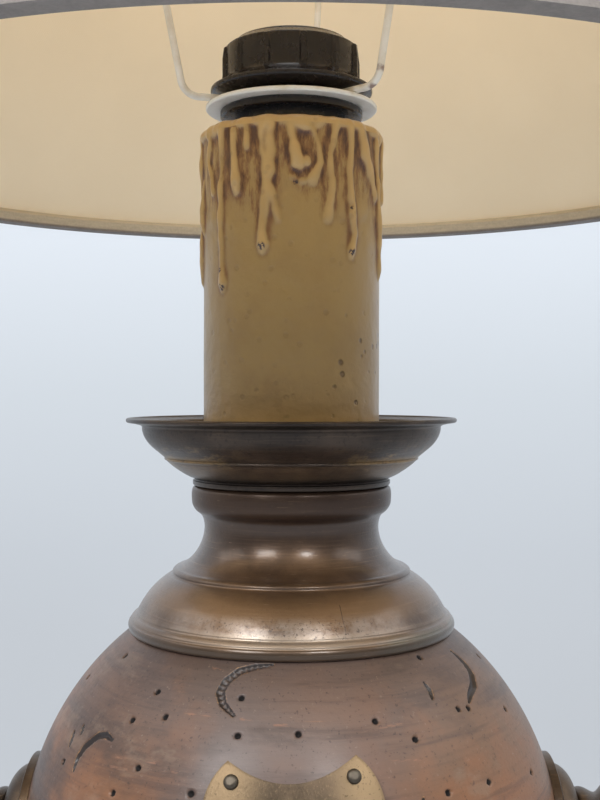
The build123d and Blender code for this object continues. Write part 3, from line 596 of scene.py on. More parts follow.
plate_side = curve(plate_side_shares)
across = np.linspace(-1, 1, 61)[None, :]
down = np.linspace(0, 1, 81)[:, None]
half_width = np.interp(down, plate_side[:, 1], plate_side[:, 0]) * plate_width
plate_x = across * half_width
dip = plate_height * plate_dip_share * (1 - across ** 2) * (1 - down) ** 3
plate_z = plate_top_rise - plate_height * down - dip
turned_x = plate_x * math.cos(plate_tilt) - plate_z * math.sin(plate_tilt) + plate_shift
turned_z = plate_x * math.sin(plate_tilt) + plate_z * math.cos(plate_tilt)
plate_radius = plate_seat + plate_thickness
plate_y = -np.sqrt(plate_radius ** 2 - turned_x ** 2 - turned_z ** 2)
plate_places = np.stack([turned_x, plate_y, turned_z + ball_z], axis=-1)
plate = surface(
    "bare_shield", plate_places[:-1], close_columns=False, inside=(0, 0, ball_z), sharp=180
)[0]
solid = plate.modifiers.new("sheet", "SOLIDIFY")
solid.thickness = plate_thickness
solid.offset = -1
edge = plate.modifiers.new("filed_edge", "BEVEL")
edge.width = 0.0003
edge.segments = 2
edge.limit_method = "ANGLE"

sheet_brass, place = new_finish("brushed_sheet_brass")
stain = place.cloud(60.0, 5.0, 0.62)
brush = place.scaled((9, 9, 1)).cloud(210.0, 5.0, 0.65)
specks = place.cloud(1300.0, 3.0)
off_middle = abs(place.part("X") - plate_shift)
# Brighter towards both sides of the curved plate and most on the right: painted reflection.
side_reflection = off_middle.step(0.005, 0.016) * (0.6 + 0.4 * place.part("X").step(-0.004, 0.014))
color = coats(
    stain.step(0.38, 0.66).mix(tone(76, 65, 53), tone(108, 92, 75)),
    (side_reflection, 0.85, 162, 138, 106),
    (brush.step(0.5, 0.75), 0.4, 150, 130, 102),
    (specks.step(0.6, 0.7), 0.45, 52, 43, 36),
)
relief = brush * 0.6 + specks * 0.4
fill(
    sheet_brass, base_color=color, roughness=0.34 + stain * 0.14 + brush * 0.12,
    normal=relief.bump(0.0002, 0.5), metallic=0.9,
)
plate.data.materials.append(sheet_brass)
mottled(
    "gray_pin_metal", (900.0, 4.0), ((70, 62, 54), (118, 110, 98)), (0.36, 0.2), ["plate_pins"],
    metallic=0.9,
)
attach(plate, "lamp")
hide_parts("shield_plate")


# The neck under the pan: one spun piece in brown bronze, with a rounded band, a waist, a thin
# raised edge at its step and a bell whose grooved rim sits on the ball.
def outline_of(start, *strips):
    """Joins smooth curves of (radius, height) in millimetres, each from the last one's end."""
    lines = []
    for strip in strips:
        lines.append(curve([start, *strip]))
        start = strip[-1]
    return np.concatenate(lines) / 1000


def shell(line, wall, bead=0.0):
    """A closed outline: a line, the same line moved inwards by the wall's thickness, and a bead.

    The bead is a round roll of that radius on the line's last end; at 0 the end is cut square.
    """
    along = np.gradient(line, axis=0)
    along /= np.linalg.norm(along, axis=1)[:, None]
    inward = np.stack([-along[:, 1], along[:, 0]], axis=1)
    inner = line + wall * inward
    turn = np.radians(np.linspace(-140, 140, 15))[:, None]
    roll = (line[-1] + inner[-1]) / 2 + bead * (np.cos(turn) * along[-1] + np.sin(turn) * inward[-1])
    return np.concatenate([line, roll[: len(roll) if bead else 0], inner[::-1]])


def polar(radius, turn, height):
    """Places about the lamp's axis, at a turn from the front towards +X."""
    flat = 0 * radius * turn
    return np.stack([radius * np.sin(turn), -radius * np.cos(turn), height + flat], axis=-1)


def turned(name, outline, base, columns=256):
    """A surface turned about the lamp's axis from a closed outline of (radius, height)."""
    line = outline[np.r_[True, np.linalg.norm(np.diff(outline, axis=0), axis=1) > 1e-7]]
    turn = np.linspace(0, 2 * math.pi, columns, endpoint=False)
    places = polar(line[:, :1], turn, base + line[:, 1:])
    return surface(name, places, close_rows=True, inside=(0, 0, base))[0]


spun_wall = 0.0008
neck_outline = outline_of(
    (44.0, 0.2),
    [(44.5, 0.5), (44.75, 1.3), (44.8, 2.0), (44.5, 2.8)],
    [(44.1, 3.1), (44.0, 3.5)],
    [(43.5, 4.1), (43.0, 4.4)],
    [(42.6, 4.7), (42.4, 5.2)],
    [(42.0, 5.9), (40.8, 7.9), (39.3, 10.0), (37.3, 12.1), (34.9, 14.0), (33.5, 14.85)],
    [(33.0, 15.1), (32.7, 15.5)],
    [(32.75, 16.0), (32.2, 16.6), (31.4, 16.9)],
    [
        (30.3, 17.4), (28.5, 18.5), (26.1, 21.3), (24.6, 24.5), (24.05, 27.8), (24.4, 30.2),
        (24.9, 31.2),
    ],
    [
        (25.3, 31.6), (26.4, 32.5), (27.3, 34.0), (27.55, 36.0), (27.5, 37.6), (27.2, 38.6),
        (26.5, 39.15), (25.6, 39.3),
    ],
    [(5.1, 39.3)],
)
neck_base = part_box("neck_bell")[0].z
neck = turned("spun_neck", shell(neck_outline, spun_wall), neck_base)
bronze, place = new_finish("brown_bronze")
color, rough, relief = aged_metal(place, (76, 57, 42), (118, 90, 64), (148, 118, 90))
height = place.part("Z") - neck_base
green = (1 - height.step(0.003, 0.0048)) * place.part("X").step(0.004, 0.03)
crack_turn = math.radians(18.8)
across = place.part("X") * math.cos(crack_turn) + place.part("Y") * math.sin(crack_turn)
across = across + (place.cloud(300.0, 3.0) - 0.5) * 0.0006
crack = (1 - abs(across).step(0.00004, 0.00016)) * height.band(0.006, 0.0065, 0.012, 0.0125)
flange = height.band(0.0035, 0.006, 0.0075, 0.0105)
frontal = 1 - abs(place.part("X")).step(0.008, 0.034)
# On the bell's flange, a pale patchy glint that is strongest at the front: painted reflection.
rubbed_and_glint = flange * (0.25 + 0.75 * frontal) * place.cloud(160.0, 5.0, 0.7).step(0.36, 0.6)
# A pale line along the flange's grooves, strongest at the front: painted highlight.
groove_highlight = height.band(0.0026, 0.0034, 0.0052, 0.0068) * (0.15 + 0.85 * frontal)
soot = place.cloud(1300.0, 4.0, 0.7).step(0.56, 0.64) * (0.15 + 0.85 * flange * frontal)
color = coats(
    color,
    # Darker towards the top: painted shade under the drip pan.
    (height.step(0.020, 0.032), 0.7, 62, 46, 38),
    # Lighter and more golden round the bell's middle: painted reflection.
    (height.band(0.006, 0.011, 0.012, 0.016), 0.5, 140, 108, 74),
    (green * place.cloud(70.0, 4.0).step(0.4, 0.6), 0.6, 104, 104, 88),
    (crack * (1 - place.part("Y").step(-0.01, 0)), 0.7, 44, 32, 26),
    (rubbed_and_glint, 0.45, 176, 162, 148),
    (groove_highlight, 0.5, 198, 180, 160),
    (1 - height.step(0.0022, 0.0032), 0.75, 76, 60, 45),
    (soot, 0.75, 40, 30, 26),
    (place.scaled((1, 1, 24)).cloud(240.0, 2.0, 0.5).step(0.7, 0.74), 0.35, 170, 140, 112),
)
fill(
    bronze, base_color=color, roughness=rough, normal=relief.bump(0.0002, 0.45), metallic=0.5,
    coat_weight=0.6 - 0.45 * height.step(0.030, 0.033), coat_roughness=0.2,
)
neck.data.materials.append(bronze)
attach(neck, "lamp")
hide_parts("neck_bell")

# The drip pan on the neck: spun sheet, almost black from age and rubbed to brass on its lower
# step.
pan_outline = outline_of(
    (5.1, 0.0),
    [(26.6, 0.0)],
    [(27.1, 0.2), (27.25, 0.7), (27.2, 1.3)],
    [(26.7, 1.6), (27.0, 2.0)],
    [(29.4, 3.1), (32.7, 5.3), (34.5, 6.9)],
    [(35.0, 7.25), (34.9, 7.7)],
    [(36.5, 9.0), (39.0, 11.2), (40.5, 13.4), (41.1, 15.6)],
    [(41.3, 16.3), (43.1, 16.9), (44.9, 17.4)],
)
pan_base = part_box("drip_pan")[0].z
pan_bead = 0.00062
pan = turned("spun_drip_pan", shell(pan_outline, spun_wall, pan_bead), pan_base)
dark_bronze, place = new_finish("dark_worn_bronze")
color, rough, relief = aged_metal(place, (52, 43, 37), (82, 68, 57), (118, 98, 78), 0.8)
height = place.part("Z") - pan_base
patch = place.cloud(48.0, 5.0, 0.65)
beside = abs(place.part("X")).step(0.006, 0.026)
spots = place.scaled((1, 1, 2.5)).cloud(150.0, 5.0, 0.7).step(0.5, 0.6)
# On the pan this mask is real rubbing through to brass on its step.
rubbed_and_glint = height.band(0.0066, 0.0074, 0.0076, 0.0092) * beside
color = coats(
    color,
    (rubbed_and_glint * patch.step(0.35, 0.6), 0.8, 150, 122, 82),
    (height.band(0.004, 0.0068, 0.009, 0.0125) * beside * spots, 0.7, 148, 122, 84),
    (place.cloud(700.0, 4.0, 0.7).step(0.56, 0.64), 0.55, 34, 27, 24),
    (height.band(0.002, 0.004, 0.006, 0.0075) * patch.step(0.25, 0.7), 0.7, 130, 106, 80),
)
fill(
    dark_bronze, base_color=color, roughness=rough + patch.step(0.5, 0.8) * 0.1,
    normal=relief.bump(0.0003, 0.5), metallic=0.65, coat_weight=0.25, coat_roughness=0.28,
)
pan.data.materials.append(dark_bronze)
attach(pan, "lamp")
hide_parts("drip_pan")

# The candle sleeve: a resin tube cast with a thick brim of wax and runs that ended in drops,
# painted ochre, with a brown wash left in the hollows between the runs.
candle_low, candle_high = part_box("candle_sleeve")
candle_top = candle_high.z
candle_tall = candle_top - candle_low.z
candle_radius = 0.0242
candle_bore = 0.0203
# Each run is a chain of places: degrees round the candle, drop below its top, half width, stand.
wax_runs = [
    [(-61.0, 3.0, 1.4, 0.9), (-64.5, 10.0, 1.1, 0.9), (-60.0, 14.5, 1.1, 0.8), (-58.0, 18.4, 0.9, 0.6)],
    [(-76.5, 14.0, 1.0, 0.5), (-79.0, 21.0, 2.0, 1.5), (-79.0, 25.0, 2.1, 1.8), (-77.0, 28.4, 0.8, 0.6)],
    [
        (-48.0, 2.0, 1.3, 1.0), (-49.5, 13.0, 1.0, 0.9), (-49.5, 28.0, 0.95, 0.85),
        (-48.5, 38.5, 1.1, 0.9), (-47.4, 42.8, 1.6, 1.2), (-47.2, 44.4, 1.0, 0.7),
    ],
    [(-38.3, 3.5, 1.0, 0.8), (-37.5, 10.8, 1.1, 0.7), (-36.2, 16.3, 1.7, 1.3), (-35.6, 19.2, 1.1, 0.8)],
    [(-27.5, 3.0, 0.9, 0.8), (-27.5, 8.2, 0.7, 0.6)],
    [
        (-13.6, 3.0, 2.4, 1.1), (-13.6, 12.8, 2.3, 1.1), (-15.0, 21.5, 1.9, 1.0),
        (-17.6, 29.3, 1.2, 0.85), (-17.5, 33.4, 1.7, 1.2), (-17.5, 34.8, 1.1, 0.7),
    ],
    [(-12.0, 18.5, 1.1, 0.7), (-9.4, 24.6, 1.3, 0.85), (-7.4, 27.3, 0.8, 0.5)],
    [(-0.5, 2.6, 1.7, 1.0), (1.6, 6.8, 1.2, 0.9), (3.6, 11.0, 2.0, 1.8), (3.9, 12.8, 1.9, 1.6)],
    [(9.5, 11.8, 1.2, 0.8), (9.8, 12.4, 1.2, 0.8)],
    [(1.5, 16.6, 1.7, 0.6), (6.5, 16.9, 1.9, 0.6)],
    [(12.5, 2.6, 1.3, 0.9), (17.4, 8.2, 1.1, 0.9), (18.2, 12.4, 1.2, 0.9), (13.4, 17.2, 1.7, 0.7)],
    [
        (28.5, 2.4, 1.1, 0.9), (24.6, 10.2, 0.8, 0.8), (25.8, 16.4, 1.0, 0.8),
        (24.7, 21.5, 1.0, 0.7), (23.0, 26.6, 1.4, 0.6),
    ],
    [
        (40.0, 2.4, 1.2, 0.9), (39.3, 13.6, 1.1, 0.9), (41.0, 24.5, 1.2, 0.9),
        (43.0, 30.0, 1.1, 0.85), (40.6, 34.2, 1.5, 1.2), (40.0, 36.0, 1.0, 0.7),
    ],
    [(50.0, 2.6, 2.3, 0.9), (55.0, 9.8, 2.5, 0.9), (61.5, 14.5, 2.1, 0.8), (66.0, 19.2, 1.3, 0.6)],
    [
        (69.0, 4.0, 1.5, 1.0), (72.0, 20.0, 1.2, 1.0), (75.0, 33.0, 1.2, 1.05),
        (76.0, 38.3, 1.4, 1.1), (76.5, 40.4, 0.8, 0.6),
    ],
    [(86.0, 3.0, 1.2, 0.9), (87.0, 14.0, 1.1, 0.9), (86.0, 19.0, 1.6, 1.2)],
]
luck = np.random.default_rng(7)
for angle in np.arange(100, 279, 13.5):
    middle_angle = angle + luck.uniform(-3, 3)
    end_angle = middle_angle + luck.uniform(-4, 4)
    length = luck.choice([9.0, 15.0, 20.0, 28.0, 38.0]) + luck.uniform(-3, 3)
    width = luck.uniform(1.0, 1.9)
    wax_runs.append([
        (angle, 2.6, width * 1.15, 0.95),
        (middle_angle, 2.6 + length * 0.5, width * 0.85, 0.85),
        (end_angle, 2.6 + length * 0.85, width * 1.2, 1.2),
        (end_angle, 2.6 + length, width * 0.7, 0.7),
    ])

fine_drop = np.arange(2.2, 50.0, 0.38)
coarse_drop = np.linspace(50.4, candle_tall * 1000, 38)
brim_turn = np.linspace(0, math.pi / 2, 9)[:-1]
wall_drop = np.concatenate([fine_drop, coarse_drop])
brim_round = 2.2
columns = 440


def blurred(field, down_spread, across_spread):
    """A field smoothed by a bell curve; spreads are in grid steps."""
    padded = np.concatenate([field, field[::-1]])
    down_wave = np.fft.fftfreq(padded.shape[0])[:, None]
    across_wave = np.fft.fftfreq(padded.shape[1])[None, :]
    spread = (down_wave * down_spread) ** 2 + (across_wave * across_spread) ** 2
    bell = np.exp(-2 * math.pi ** 2 * spread)
    return np.fft.ifft2(np.fft.fft2(padded) * bell).real[: len(field)]


turn = np.linspace(-math.pi, math.pi, columns, endpoint=False)
drop_grid, turn_grid = np.meshgrid(wall_drop, turn, indexing="ij")
lumps = blurred(luck.normal(size=drop_grid.shape), 3.4, 2.6)
lumps /= lumps.std()
swell = blurred(luck.normal(size=drop_grid.shape), 9.0, 7.0)
swell /= swell.std()
wax = np.zeros_like(drop_grid)
for run in wax_runs:
    at, drop, half, stand = np.array(run).T
    center = np.radians(np.interp(drop_grid, drop, at))
    half = np.interp(drop_grid, drop, half) * (1 + 0.10 * lumps + 0.08 * swell)
    stand = np.interp(drop_grid, drop, stand)
    aside = (turn_grid - center + math.pi) % (2 * math.pi) - math.pi
    beyond = np.maximum(drop[0] - drop_grid, 0) + np.maximum(drop_grid - drop[-1], 0)
    reach = np.hypot(aside * candle_radius * 1000, beyond) / half
    bead = stand * np.clip(1 - reach ** 2, 0, 1) ** 0.6
    wax = np.maximum(wax, bead) + 0.12 * np.minimum(wax, bead)
brim_wave = 0.9 * np.sin(5 * turn_grid + 1) + 0.7 * np.sin(11 * turn_grid)
brim_edge = 3.4 + brim_wave + 0.4 * np.sin(23 * turn_grid + 2)
brim = 0.95 * np.clip((brim_edge - drop_grid) / 1.6, 0, 1) ** 0.7
wax = np.maximum(wax, brim)
crusted = np.clip((38 - drop_grid) / 14, 0, 1)
wax = wax + crusted * (0.15 * lumps + 0.10 * swell) * (0.35 + 0.65 * np.clip(wax, 0, 1))
ripple = 0.035 * swell + 0.012 * lumps
softened = blurred(wax, 0.9, 0.9)
hollow = np.clip(blurred(wax, 5.0, 3.6) - softened * 0.75, 0, 1)
outer_radius = candle_radius * 1000 + softened + ripple
brim_radius = outer_radius[0]
round_radius = brim_radius - brim_round * (1 - np.sin(math.pi / 2 - brim_turn))[:, None]
round_drop = brim_round * (1 - np.sin(brim_turn))[:, None] + 0 * brim_radius
top_radius = np.linspace(0, 1, 4)[1:, None]
rim_radius = round_radius[-1] * (1 - top_radius) + (candle_bore * 1000 + 0.5) * top_radius
rim_drop = round_drop[-1] * (1 - top_radius)
bore_radius = np.full((2, columns), candle_bore * 1000)
bore_drop = np.array([[0.5], [candle_tall * 1000]]) + 0 * bore_radius
radius = np.concatenate([outer_radius[::-1], round_radius, rim_radius, bore_radius]) / 1000
drop = np.concatenate([drop_grid[::-1], round_drop, rim_drop, bore_drop]) / 1000
candle_places = polar(radius, turn, candle_top - drop)
candle, used = surface(
    "cast_candle_sleeve", candle_places, close_rows=True, inside=(0, 0, candle_low.z), sharp=60
)
rest = ((0, len(radius) - len(outer_radius)), (0, 0))
wash = np.pad(hollow[::-1], rest)
crest = np.pad(np.clip(softened, 0, 1)[::-1], rest, constant_values=0.8)
char_spots = [
    (-47.3, 43.9, 1.4), (-49.2, 39.4, 1.1), (-17.8, 33.9, 1.5), (40.2, 34.9, 1.4), (3.0, 17.6, 1.0),
    (39.6, 23.4, 0.7),
]
char = np.zeros_like(drop_grid)
for at, spot_drop, spot_radius in char_spots:
    aside = (turn_grid - math.radians(at)) * candle_radius * 1000
    char = np.maximum(char, np.clip(1 - np.hypot(aside, drop_grid - spot_drop) / spot_radius, 0, 1))
char = np.pad(char[::-1], rest)
mark(candle, used, wash=wash, crest=crest, char=char)

resin, place = new_finish("painted_wax_resin")
crest = place.named("crest")
height = place.part("Z") - candle_top
# Lighter towards the candle's foot: painted light against the drip pan's shadow.
foot = 1 - (place.part("Z") - candle_low.z).step(0.008, 0.040)
mottle = place.cloud(90.0, 5.0, 0.6)
brushed = place.scaled((3, 3, 0.8)).cloud(190.0, 6.0, 0.72)
uneven = height + (place.scaled((1, 1, 0.4)).cloud(110.0, 3.0) - 0.5) * 0.026
hollows = (1 - crest).step(0.5, 0.95) * uneven.step(-0.030, -0.014) * brushed.step(0.34, 0.7)
soak = place.named("wash") * (0.2 + 1.9 * brushed) + hollows * 0.34
fleck = place.cloud(1400.0, 2.0).step(0.42, 0.55)
side = (1 - height.step(-0.058, -0.045)) * place.part("X").step(0.004, 0.014)
pit = (1 - place.cells(260.0).step(0.12, 0.26)) * (0.2 + 0.8 * side) * mottle.step(0.38, 0.5)
color = coats(
    (1 - height.step(-0.085, -0.012)).mix(tone(174, 142, 84), tone(168, 138, 82)),
    (foot, 0.8, 232, 194, 128),
    (mottle.step(0.4, 0.7), 0.3, 152, 118, 70),
    (crest, 0.65, 216, 178, 116),
    (soak.step(0.05, 0.34), 1.0, 134, 92, 48),
    (soak.step(0.26, 0.56), 1.0, 84, 50, 28),
    (place.named("char").step(0.15, 0.5) * fleck, 1.0, 58, 34, 34),
    (pit, 0.7, 100, 72, 44),
)
relief = mottle * 0.4 + place.cloud(520.0, 4.0) * 0.4 + place.cloud(210.0, 2.0, 0.4) * 0.9
fill(
    resin, base_color=color, roughness=0.36 + mottle * 0.16, coat_weight=0.6,
    coat_roughness=0.28, normal=(relief - pit * 1.1).bump(0.0006, 0.8),
)
candle.data.materials.append(resin)
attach(candle, "candle")
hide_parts("candle_sleeve")

# The lampholder: a black moulded shell with a round collar that carries the shade and an
# outside thread for the ring nut, around a glazed white insert with brass contacts.
shell_low, shell_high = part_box("holder_shell")
collar_radius = 0.0196
collar_thickness = 0.0023
thread_top_radius = 0.014
thread_depth = 0.0007
thread_pitch = 0.0025
skirt_height = 0.0153
spigot_height = 0.003
mouth_radius = 0.0124
skirt_radius = 0.0155
collar_low = spigot_height + skirt_height
collar_high = collar_low + collar_thickness
shell_tall = shell_high.z - shell_low.z
edge_round = 0.0004
body_outline = [
    (mouth_radius, 0), (0.0138, 0), (0.0138, spigot_height), (skirt_radius - edge_round, spigot_height),
    (skirt_radius, spigot_height + edge_round), (skirt_radius, collar_low),
    (collar_radius - edge_round, collar_low), (collar_radius, collar_low + edge_round),
    (collar_radius, collar_high - edge_round), (collar_radius - edge_round, collar_high),
    (thread_top_radius, collar_high),
]
thread_rows = np.linspace(collar_high + 0.0002, shell_tall - 0.0006, 110)
turn = np.linspace(0, 2 * math.pi, 160, endpoint=False)
rows = np.array([
    *body_outline, *((thread_top_radius, height) for height in thread_rows),
    (thread_top_radius - thread_depth, shell_tall), (mouth_radius, shell_tall),
])
radius, height = rows[:, :1], rows[:, 1:]
ridge = 0.5 + 0.5 * np.cos(2 * math.pi * height / thread_pitch - turn)
cut = thread_depth * ridge * np.isin(height, thread_rows)
shell_places = polar(radius - cut, turn, shell_low.z + height)
holder = surface(
    "threaded_holder_shell", shell_places, close_rows=True, inside=(0, 0, shell_low.z)
)[0]
holder.data.materials.append(plastic)
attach(holder, "lamp")
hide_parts("holder_shell")

mottled(
    "glazed_insert", (300.0, 4.0), ((214, 209, 198), (228, 224, 214)), (0.18, 0.12),
    ["holder_insert"], (0.00008, 0.4),
)
mottled(
    "stamped_contact_brass", (420.0, 5.0), ((150, 122, 70), (206, 176, 108)), (0.2, 0.25),
    ["screw_liner", "side_contact", "center_contact", "terminal_screws"], metallic=1.0,
)

# The carrier: a flat punched washer with three wires welded on top of it, dipped in white
# lacquer that has yellowed a little and let rust through at one bend.
lacquer, place = new_finish("white_lacquer")
dirt = place.cloud(130.0, 5.0, 0.6)
ragged = (place.cloud(900.0, 3.0) - 0.5) * 0.0012
color = dirt.step(0.45, 0.75).mix(tone(236, 232, 222), tone(220, 211, 192))
wire_angles = {"left": -72.0, "right": 48.0, "back": 168.0}
washer_low, washer_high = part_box("fitter_ring")
wire_radius = 0.00098
wire_end = 0.018
wire_corner = 0.0303
wire_bend = 0.005
rust_turn = math.radians(wire_angles["right"])
for away, rise, size in ((0.0312, 0.0052, 0.0011), (0.0288, 0.0006, 0.0012), (0.0262, 0.0008, 0.0006)):
    spot = polar(away, rust_turn, washer_high.z + rise).tolist()
    clean = (place.gap_to(spot) + ragged).step(size * 0.6, size * 1.3)
    color = coats(color, (1 - clean, 0.8, 112, 72, 58))
relief = place.cloud(380.0, 3.0)
fill(lacquer, base_color=color, roughness=0.28 + dirt * 0.2, normal=relief.bump(0.0002, 0.4))

washer_bore = 0.0146
washer_edge = 0.0236
washer_round = 0.0003
washer_tall = washer_high.z - washer_low.z
washer = turned("punched_washer", np.array([
    (washer_bore, 0), (washer_edge - washer_round, 0), (washer_edge, washer_round),
    (washer_edge, washer_tall - washer_round), (washer_edge - washer_round, washer_tall),
    (washer_bore, washer_tall),
]), washer_low.z)
washer.data.materials.append(lacquer)
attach(washer, "shade")
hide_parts("fitter_ring")


def rod(name, path, radius, columns=20):
    """A round rod along a path that lies in one upright plane, with rounded ends."""
    along = np.gradient(path, axis=0)
    along /= np.linalg.norm(along, axis=1)[:, None]
    sideways = np.cross(path[-1] - path[0], path[len(path) // 2] - path[0])
    sideways /= np.linalg.norm(sideways)
    across = np.cross(along, sideways)
    turn = np.linspace(0, 2 * math.pi, columns, endpoint=False)[None, :, None]
    ring = across[:, None, :] * np.cos(turn) + sideways * np.sin(turn)
    body = path[:, None, :] + radius * ring
    cap = np.linspace(0, 1, 5)[:-1, None, None]
    bulge = 0.6 * radius * np.sqrt(1 - cap ** 2)
    start, stop = (
        path[end] + way * along[end] * bulge + radius * cap * ring[end]
        for end, way in ((0, -1), (-1, 1))
    )
    places = np.concatenate([start, body, stop[::-1]])
    return surface(name, places, inside=path[len(path) // 2], sharp=70)[0]


ring_low, ring_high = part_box("shade_top_ring")
ring_wire = 0.0015
ring_center = ring_high.x - ring_wire
up = np.array([0, 0, 1])
for side, angle in wire_angles.items():
    toward = polar(1.0, math.radians(angle), 0)
    wire_z = washer_high.z + wire_radius
    end = toward * wire_end + up * wire_z
    corner = toward * wire_corner + up * wire_z
    top = toward * ring_center + up * (ring_low.z - 0.0001)
    inward = (end - corner) / np.linalg.norm(end - corner)
    upward = (top - corner) / np.linalg.norm(top - corner)
    half_angle = math.acos(inward @ upward) / 2
    reach = wire_bend / math.tan(half_angle)
    halfway = (inward + upward) / np.linalg.norm(inward + upward)
    middle = corner + halfway * wire_bend / math.sin(half_angle)
    spread = np.linspace(0, 1, 16)[:, None]
    first, last = corner + inward * reach - middle, corner + upward * reach - middle
    sweep_angle = math.pi - 2 * half_angle
    arc = middle + (
        first * np.sin((1 - spread) * sweep_angle) + last * np.sin(spread * sweep_angle)
    ) / math.sin(sweep_angle)
    straight = np.linspace(0, 1, 24)[1:, None]
    path = np.concatenate([
        end + (arc[0] - end) * np.linspace(0, 1, 8)[:-1, None], arc, arc[-1] + (top - arc[-1]) * straight
    ])
    carrier = rod("carrier_wire_" + side + "_lacquered", path, wire_radius)
    carrier.data.materials.append(lacquer)
    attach(carrier, "shade")
    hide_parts("carrier_wire_" + side)
for name in ("shade_top_ring", "shade_bottom_ring"):
    nodes[name].material_slots[0].material = lacquer

# The shade: a cone of finely woven taupe cloth on a cream lining, lapped at the back, with its
# wire rings folded into a tape at both edges.
cover_low, cover_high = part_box("shade_cover")
shade_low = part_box("bottom_binding")[0].z
shade_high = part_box("top_binding")[1].z
shade_tall = shade_high - shade_low
shade_bottom_radius = 0.1426
shade_top_radius = 0.0656
cloth_thickness = 0.0005
tape_thickness = 0.0004
tape_height = 0.005
ring_room = 0.0032
lap_turn = math.radians(172)
lap_half_width = 0.005
lap_rise = 0.0003


def cone_radius(z):
    return shade_bottom_radius + (shade_top_radius - shade_bottom_radius) * (z - shade_low) / shade_tall


def cloth_cone(name, depth, low, high, thickness, lap, rows=60, columns=360):
    """A conical skin of cloth, depth inside the shade's outer face, with a lap over its join."""
    turn = np.linspace(-math.pi, math.pi, columns, endpoint=False)
    z = np.linspace(low, high, rows)
    outer = cone_radius(z)[:, None] - depth + 0 * turn
    aside = np.abs((turn - lap_turn + math.pi) % (2 * math.pi) - math.pi) * outer
    outer = outer + lap * np.clip((lap_half_width - aside) / 0.001 + 1, 0, 1)
    inner = outer - thickness
    radius = np.concatenate([outer, inner[::-1]])
    height = np.concatenate([z, z[::-1]])[:, None]
    places = polar(radius, turn, height)
    mean = (shade_bottom_radius + shade_top_radius) / 2
    turns = np.append(turn, math.pi)[None, :] * mean
    flat = np.stack([turns + 0 * height, height + 0 * turns], axis=-1)
    flat = np.concatenate([flat, flat[:1]])
    return surface(name, places, close_rows=True, inside=(0, 0, low), uv=flat)[0]


cover = cloth_cone("woven_cover", 0, cover_low.z, cover_high.z, cloth_thickness, lap_rise)
lining = cloth_cone("cream_lining", cloth_thickness, cover_low.z, cover_high.z, cloth_thickness, 0)


def weave(place, threads):
    """Height of a plain weave from the cloth's own flat coordinates, threads per metre."""
    flat = place.node("ShaderNodeUVMap", {"uv_map": "cloth"}, {}, "UV")
    wobble = (place.cloud(240.0, 3.0) - 0.5) * 1.4
    warp, weft = (flat.part(axis) * (threads * 2 * math.pi) + wobble for axis in "XY")
    return warp.maths("SINE") * weft.maths("SINE") * 0.5 + 0.5


taupe, place = new_finish("taupe_woven_cloth")
threads = weave(place, 1250.0)
slub = place.scaled((1, 1, 0.12)).cloud(700.0, 4.0, 0.6)
cross_slub = place.scaled((0.15, 0.15, 1)).cloud(800.0, 4.0, 0.6)
color = (slub * 0.5 + cross_slub * 0.5).step(0.38, 0.62).mix(tone(124, 117, 112), tone(148, 141, 136))
color = coats(color, (threads, 0.35, 104, 97, 92))
relief = threads * 0.5 + slub * 0.3 + cross_slub * 0.2
fill(taupe, base_color=color, normal=relief.bump(0.0003, 0.7), roughness=0.9, sheen_weight=0.15)
cover.data.materials.append(taupe)
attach(cover, "shade")
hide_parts("shade_cover")

# The lining is painted lighter and yellower towards the top and glows faintly: painted light shining
# through the cloth.
cream, place = new_finish("cream_lining_film")
height = place.part("Z").step(shade_low, shade_high)
color = coats(
    height.mix(tone(214, 199, 172), tone(228, 205, 168)),
    (place.cloud(28.0, 3.0).step(0.35, 0.7), 0.25, 206, 190, 162),
)
relief = place.cloud(1500.0, 3.0) * 0.5 + weave(place, 1250.0) * 0.5
fill(
    cream, base_color=color, emission_color=color, emission_strength=0.3, roughness=0.75,
    normal=relief.bump(0.0001, 0.4),
)
lining.data.materials.append(cream)
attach(lining, "shade")
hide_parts("shade_liner")


def folded_tape(name, edge_z, upward, pocket):
    """A tape folded over the shade's edge; upward is 1 at the lower edge and -1 at the upper."""
    thick = tape_thickness
    rises = np.array([0.3 * thick, thick, thick + ring_room, tape_height])
    round_z, inner_z, side_z, hem_z = edge_z + upward * rises
    edge, inner, hem = cone_radius(edge_z), cone_radius(inner_z), cone_radius(hem_z)
    lining_face = hem - 2 * cloth_thickness
    ring = np.array([
        (edge + 0.7 * thick, edge_z), (edge + thick, round_z), (hem + thick, hem_z), (hem, hem_z),
        (inner, inner_z), (pocket, inner_z), (pocket, side_z), (lining_face, hem_z),
        (lining_face - thick, hem_z), (pocket - thick, side_z), (pocket - thick, round_z),
        (pocket - 0.7 * thick, edge_z),
    ])
    return turned(name, ring, 0, columns=360)


tape, place = new_finish("tan_hem_tape")
threads = place.cloud(1300.0, 4.0, 0.6)
lengthwise = place.scaled((0.2, 0.2, 1)).cloud(1100.0, 4.0)
relief = threads * 0.5 + lengthwise * 0.5
twill = relief.step(0.3, 0.7)
radius = place.scaled((1, 1, 0)).vector("LENGTH", output="Value")
slope = (shade_top_radius - shade_bottom_radius) / shade_tall
rise = place.part("Z") - shade_low
outside = (radius - (rise * slope + shade_bottom_radius)).step(-0.0006, -0.0001)
to_upper = (shade_high - place.part("Z")).step(0.0005, 0.0013)
folded = outside.maths("MAXIMUM", 1 - rise.step(0.0005, 0.0013) * to_upper)
tan_inside = twill.mix(tone(184, 173, 152), tone(202, 190, 166))
color = folded.mix(tan_inside, twill.mix(tone(122, 115, 110), tone(138, 131, 125)))
fill(tape, base_color=color, normal=relief.bump(0.0002, 0.4), roughness=0.9)
bottom_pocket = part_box("shade_bottom_ring")[1].x - ring_room
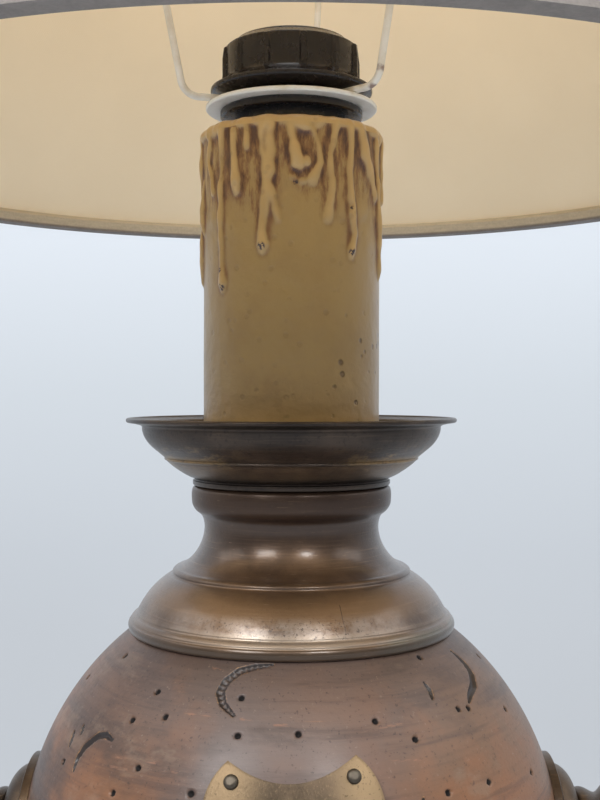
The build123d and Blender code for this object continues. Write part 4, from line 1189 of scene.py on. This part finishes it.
top_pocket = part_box("shade_top_ring")[1].x - ring_room
for name, node, edge_z, upward, pocket in (
    ("bottom_tape", "bottom_binding", shade_low, 1, bottom_pocket),
    ("top_tape", "top_binding", shade_high, -1, top_pocket),
):
    hem = folded_tape(name, edge_z, upward, pocket)
    hem.data.materials.append(tape)
    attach(hem, "shade")
    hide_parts(node)

# The ring nut that clamps the shade: moulded black, with a wide thin flange, twelve grip ribs
# and a rounded top, screwed down on the welded wire ends.
nut_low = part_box("shade_ring_nut")[0]
rib_count = 12
rib_shift = math.radians(10.0)
rib_half_width = 0.00085
rib_stand = 0.00095
nut_rows = np.array([
    (14.35, 0.0), (16.6, 0.0), (16.8, 0.05), (21.9, 1.1), (22.2, 1.3), (22.3, 1.6), (22.3, 2.1),
    (22.2, 2.4), (21.8, 2.6), (20.8, 3.0), (19.6, 3.7), (18.8, 4.4), (18.3, 5.1), (18.2, 5.6),
    (18.2, 8.0), (18.2, 10.5), (18.2, 13.3), (18.1, 13.6), (17.9, 13.75), (15.75, 15.1),
    (15.6, 15.2), (15.45, 15.4), (15.2, 15.7), (14.8, 15.85), (14.35, 15.6),
]) / 1000
nut_body_radius = 0.0182
rib_low = 0.0042
rib_high = 0.0136
turn = np.linspace(0, 2 * math.pi, 720, endpoint=False)
radius = nut_rows[:, :1] + 0 * turn
height = nut_rows[:, 1:] + 0 * turn
half_pitch = math.pi / rib_count
rib_aside = np.abs((turn - rib_shift + half_pitch) % (2 * half_pitch) - half_pitch)
rib = np.clip((rib_half_width - rib_aside * nut_body_radius) / 0.0003 + 0.5, 0, 1)
on_body = np.clip((height - rib_low) / 0.0008, 0, 1) * np.clip((rib_high - height) / 0.0005, 0, 1)
radius = radius + rib_stand * rib * on_body
nut_places = polar(radius, turn, nut_low.z + height)
nut = surface(
    "ribbed_ring_nut", nut_places, close_rows=True, inside=(0, 0, nut_low.z), sharp=50
)[0]
nut.data.materials.append(plastic)
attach(nut, "ring_nut")
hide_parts("shade_ring_nut")
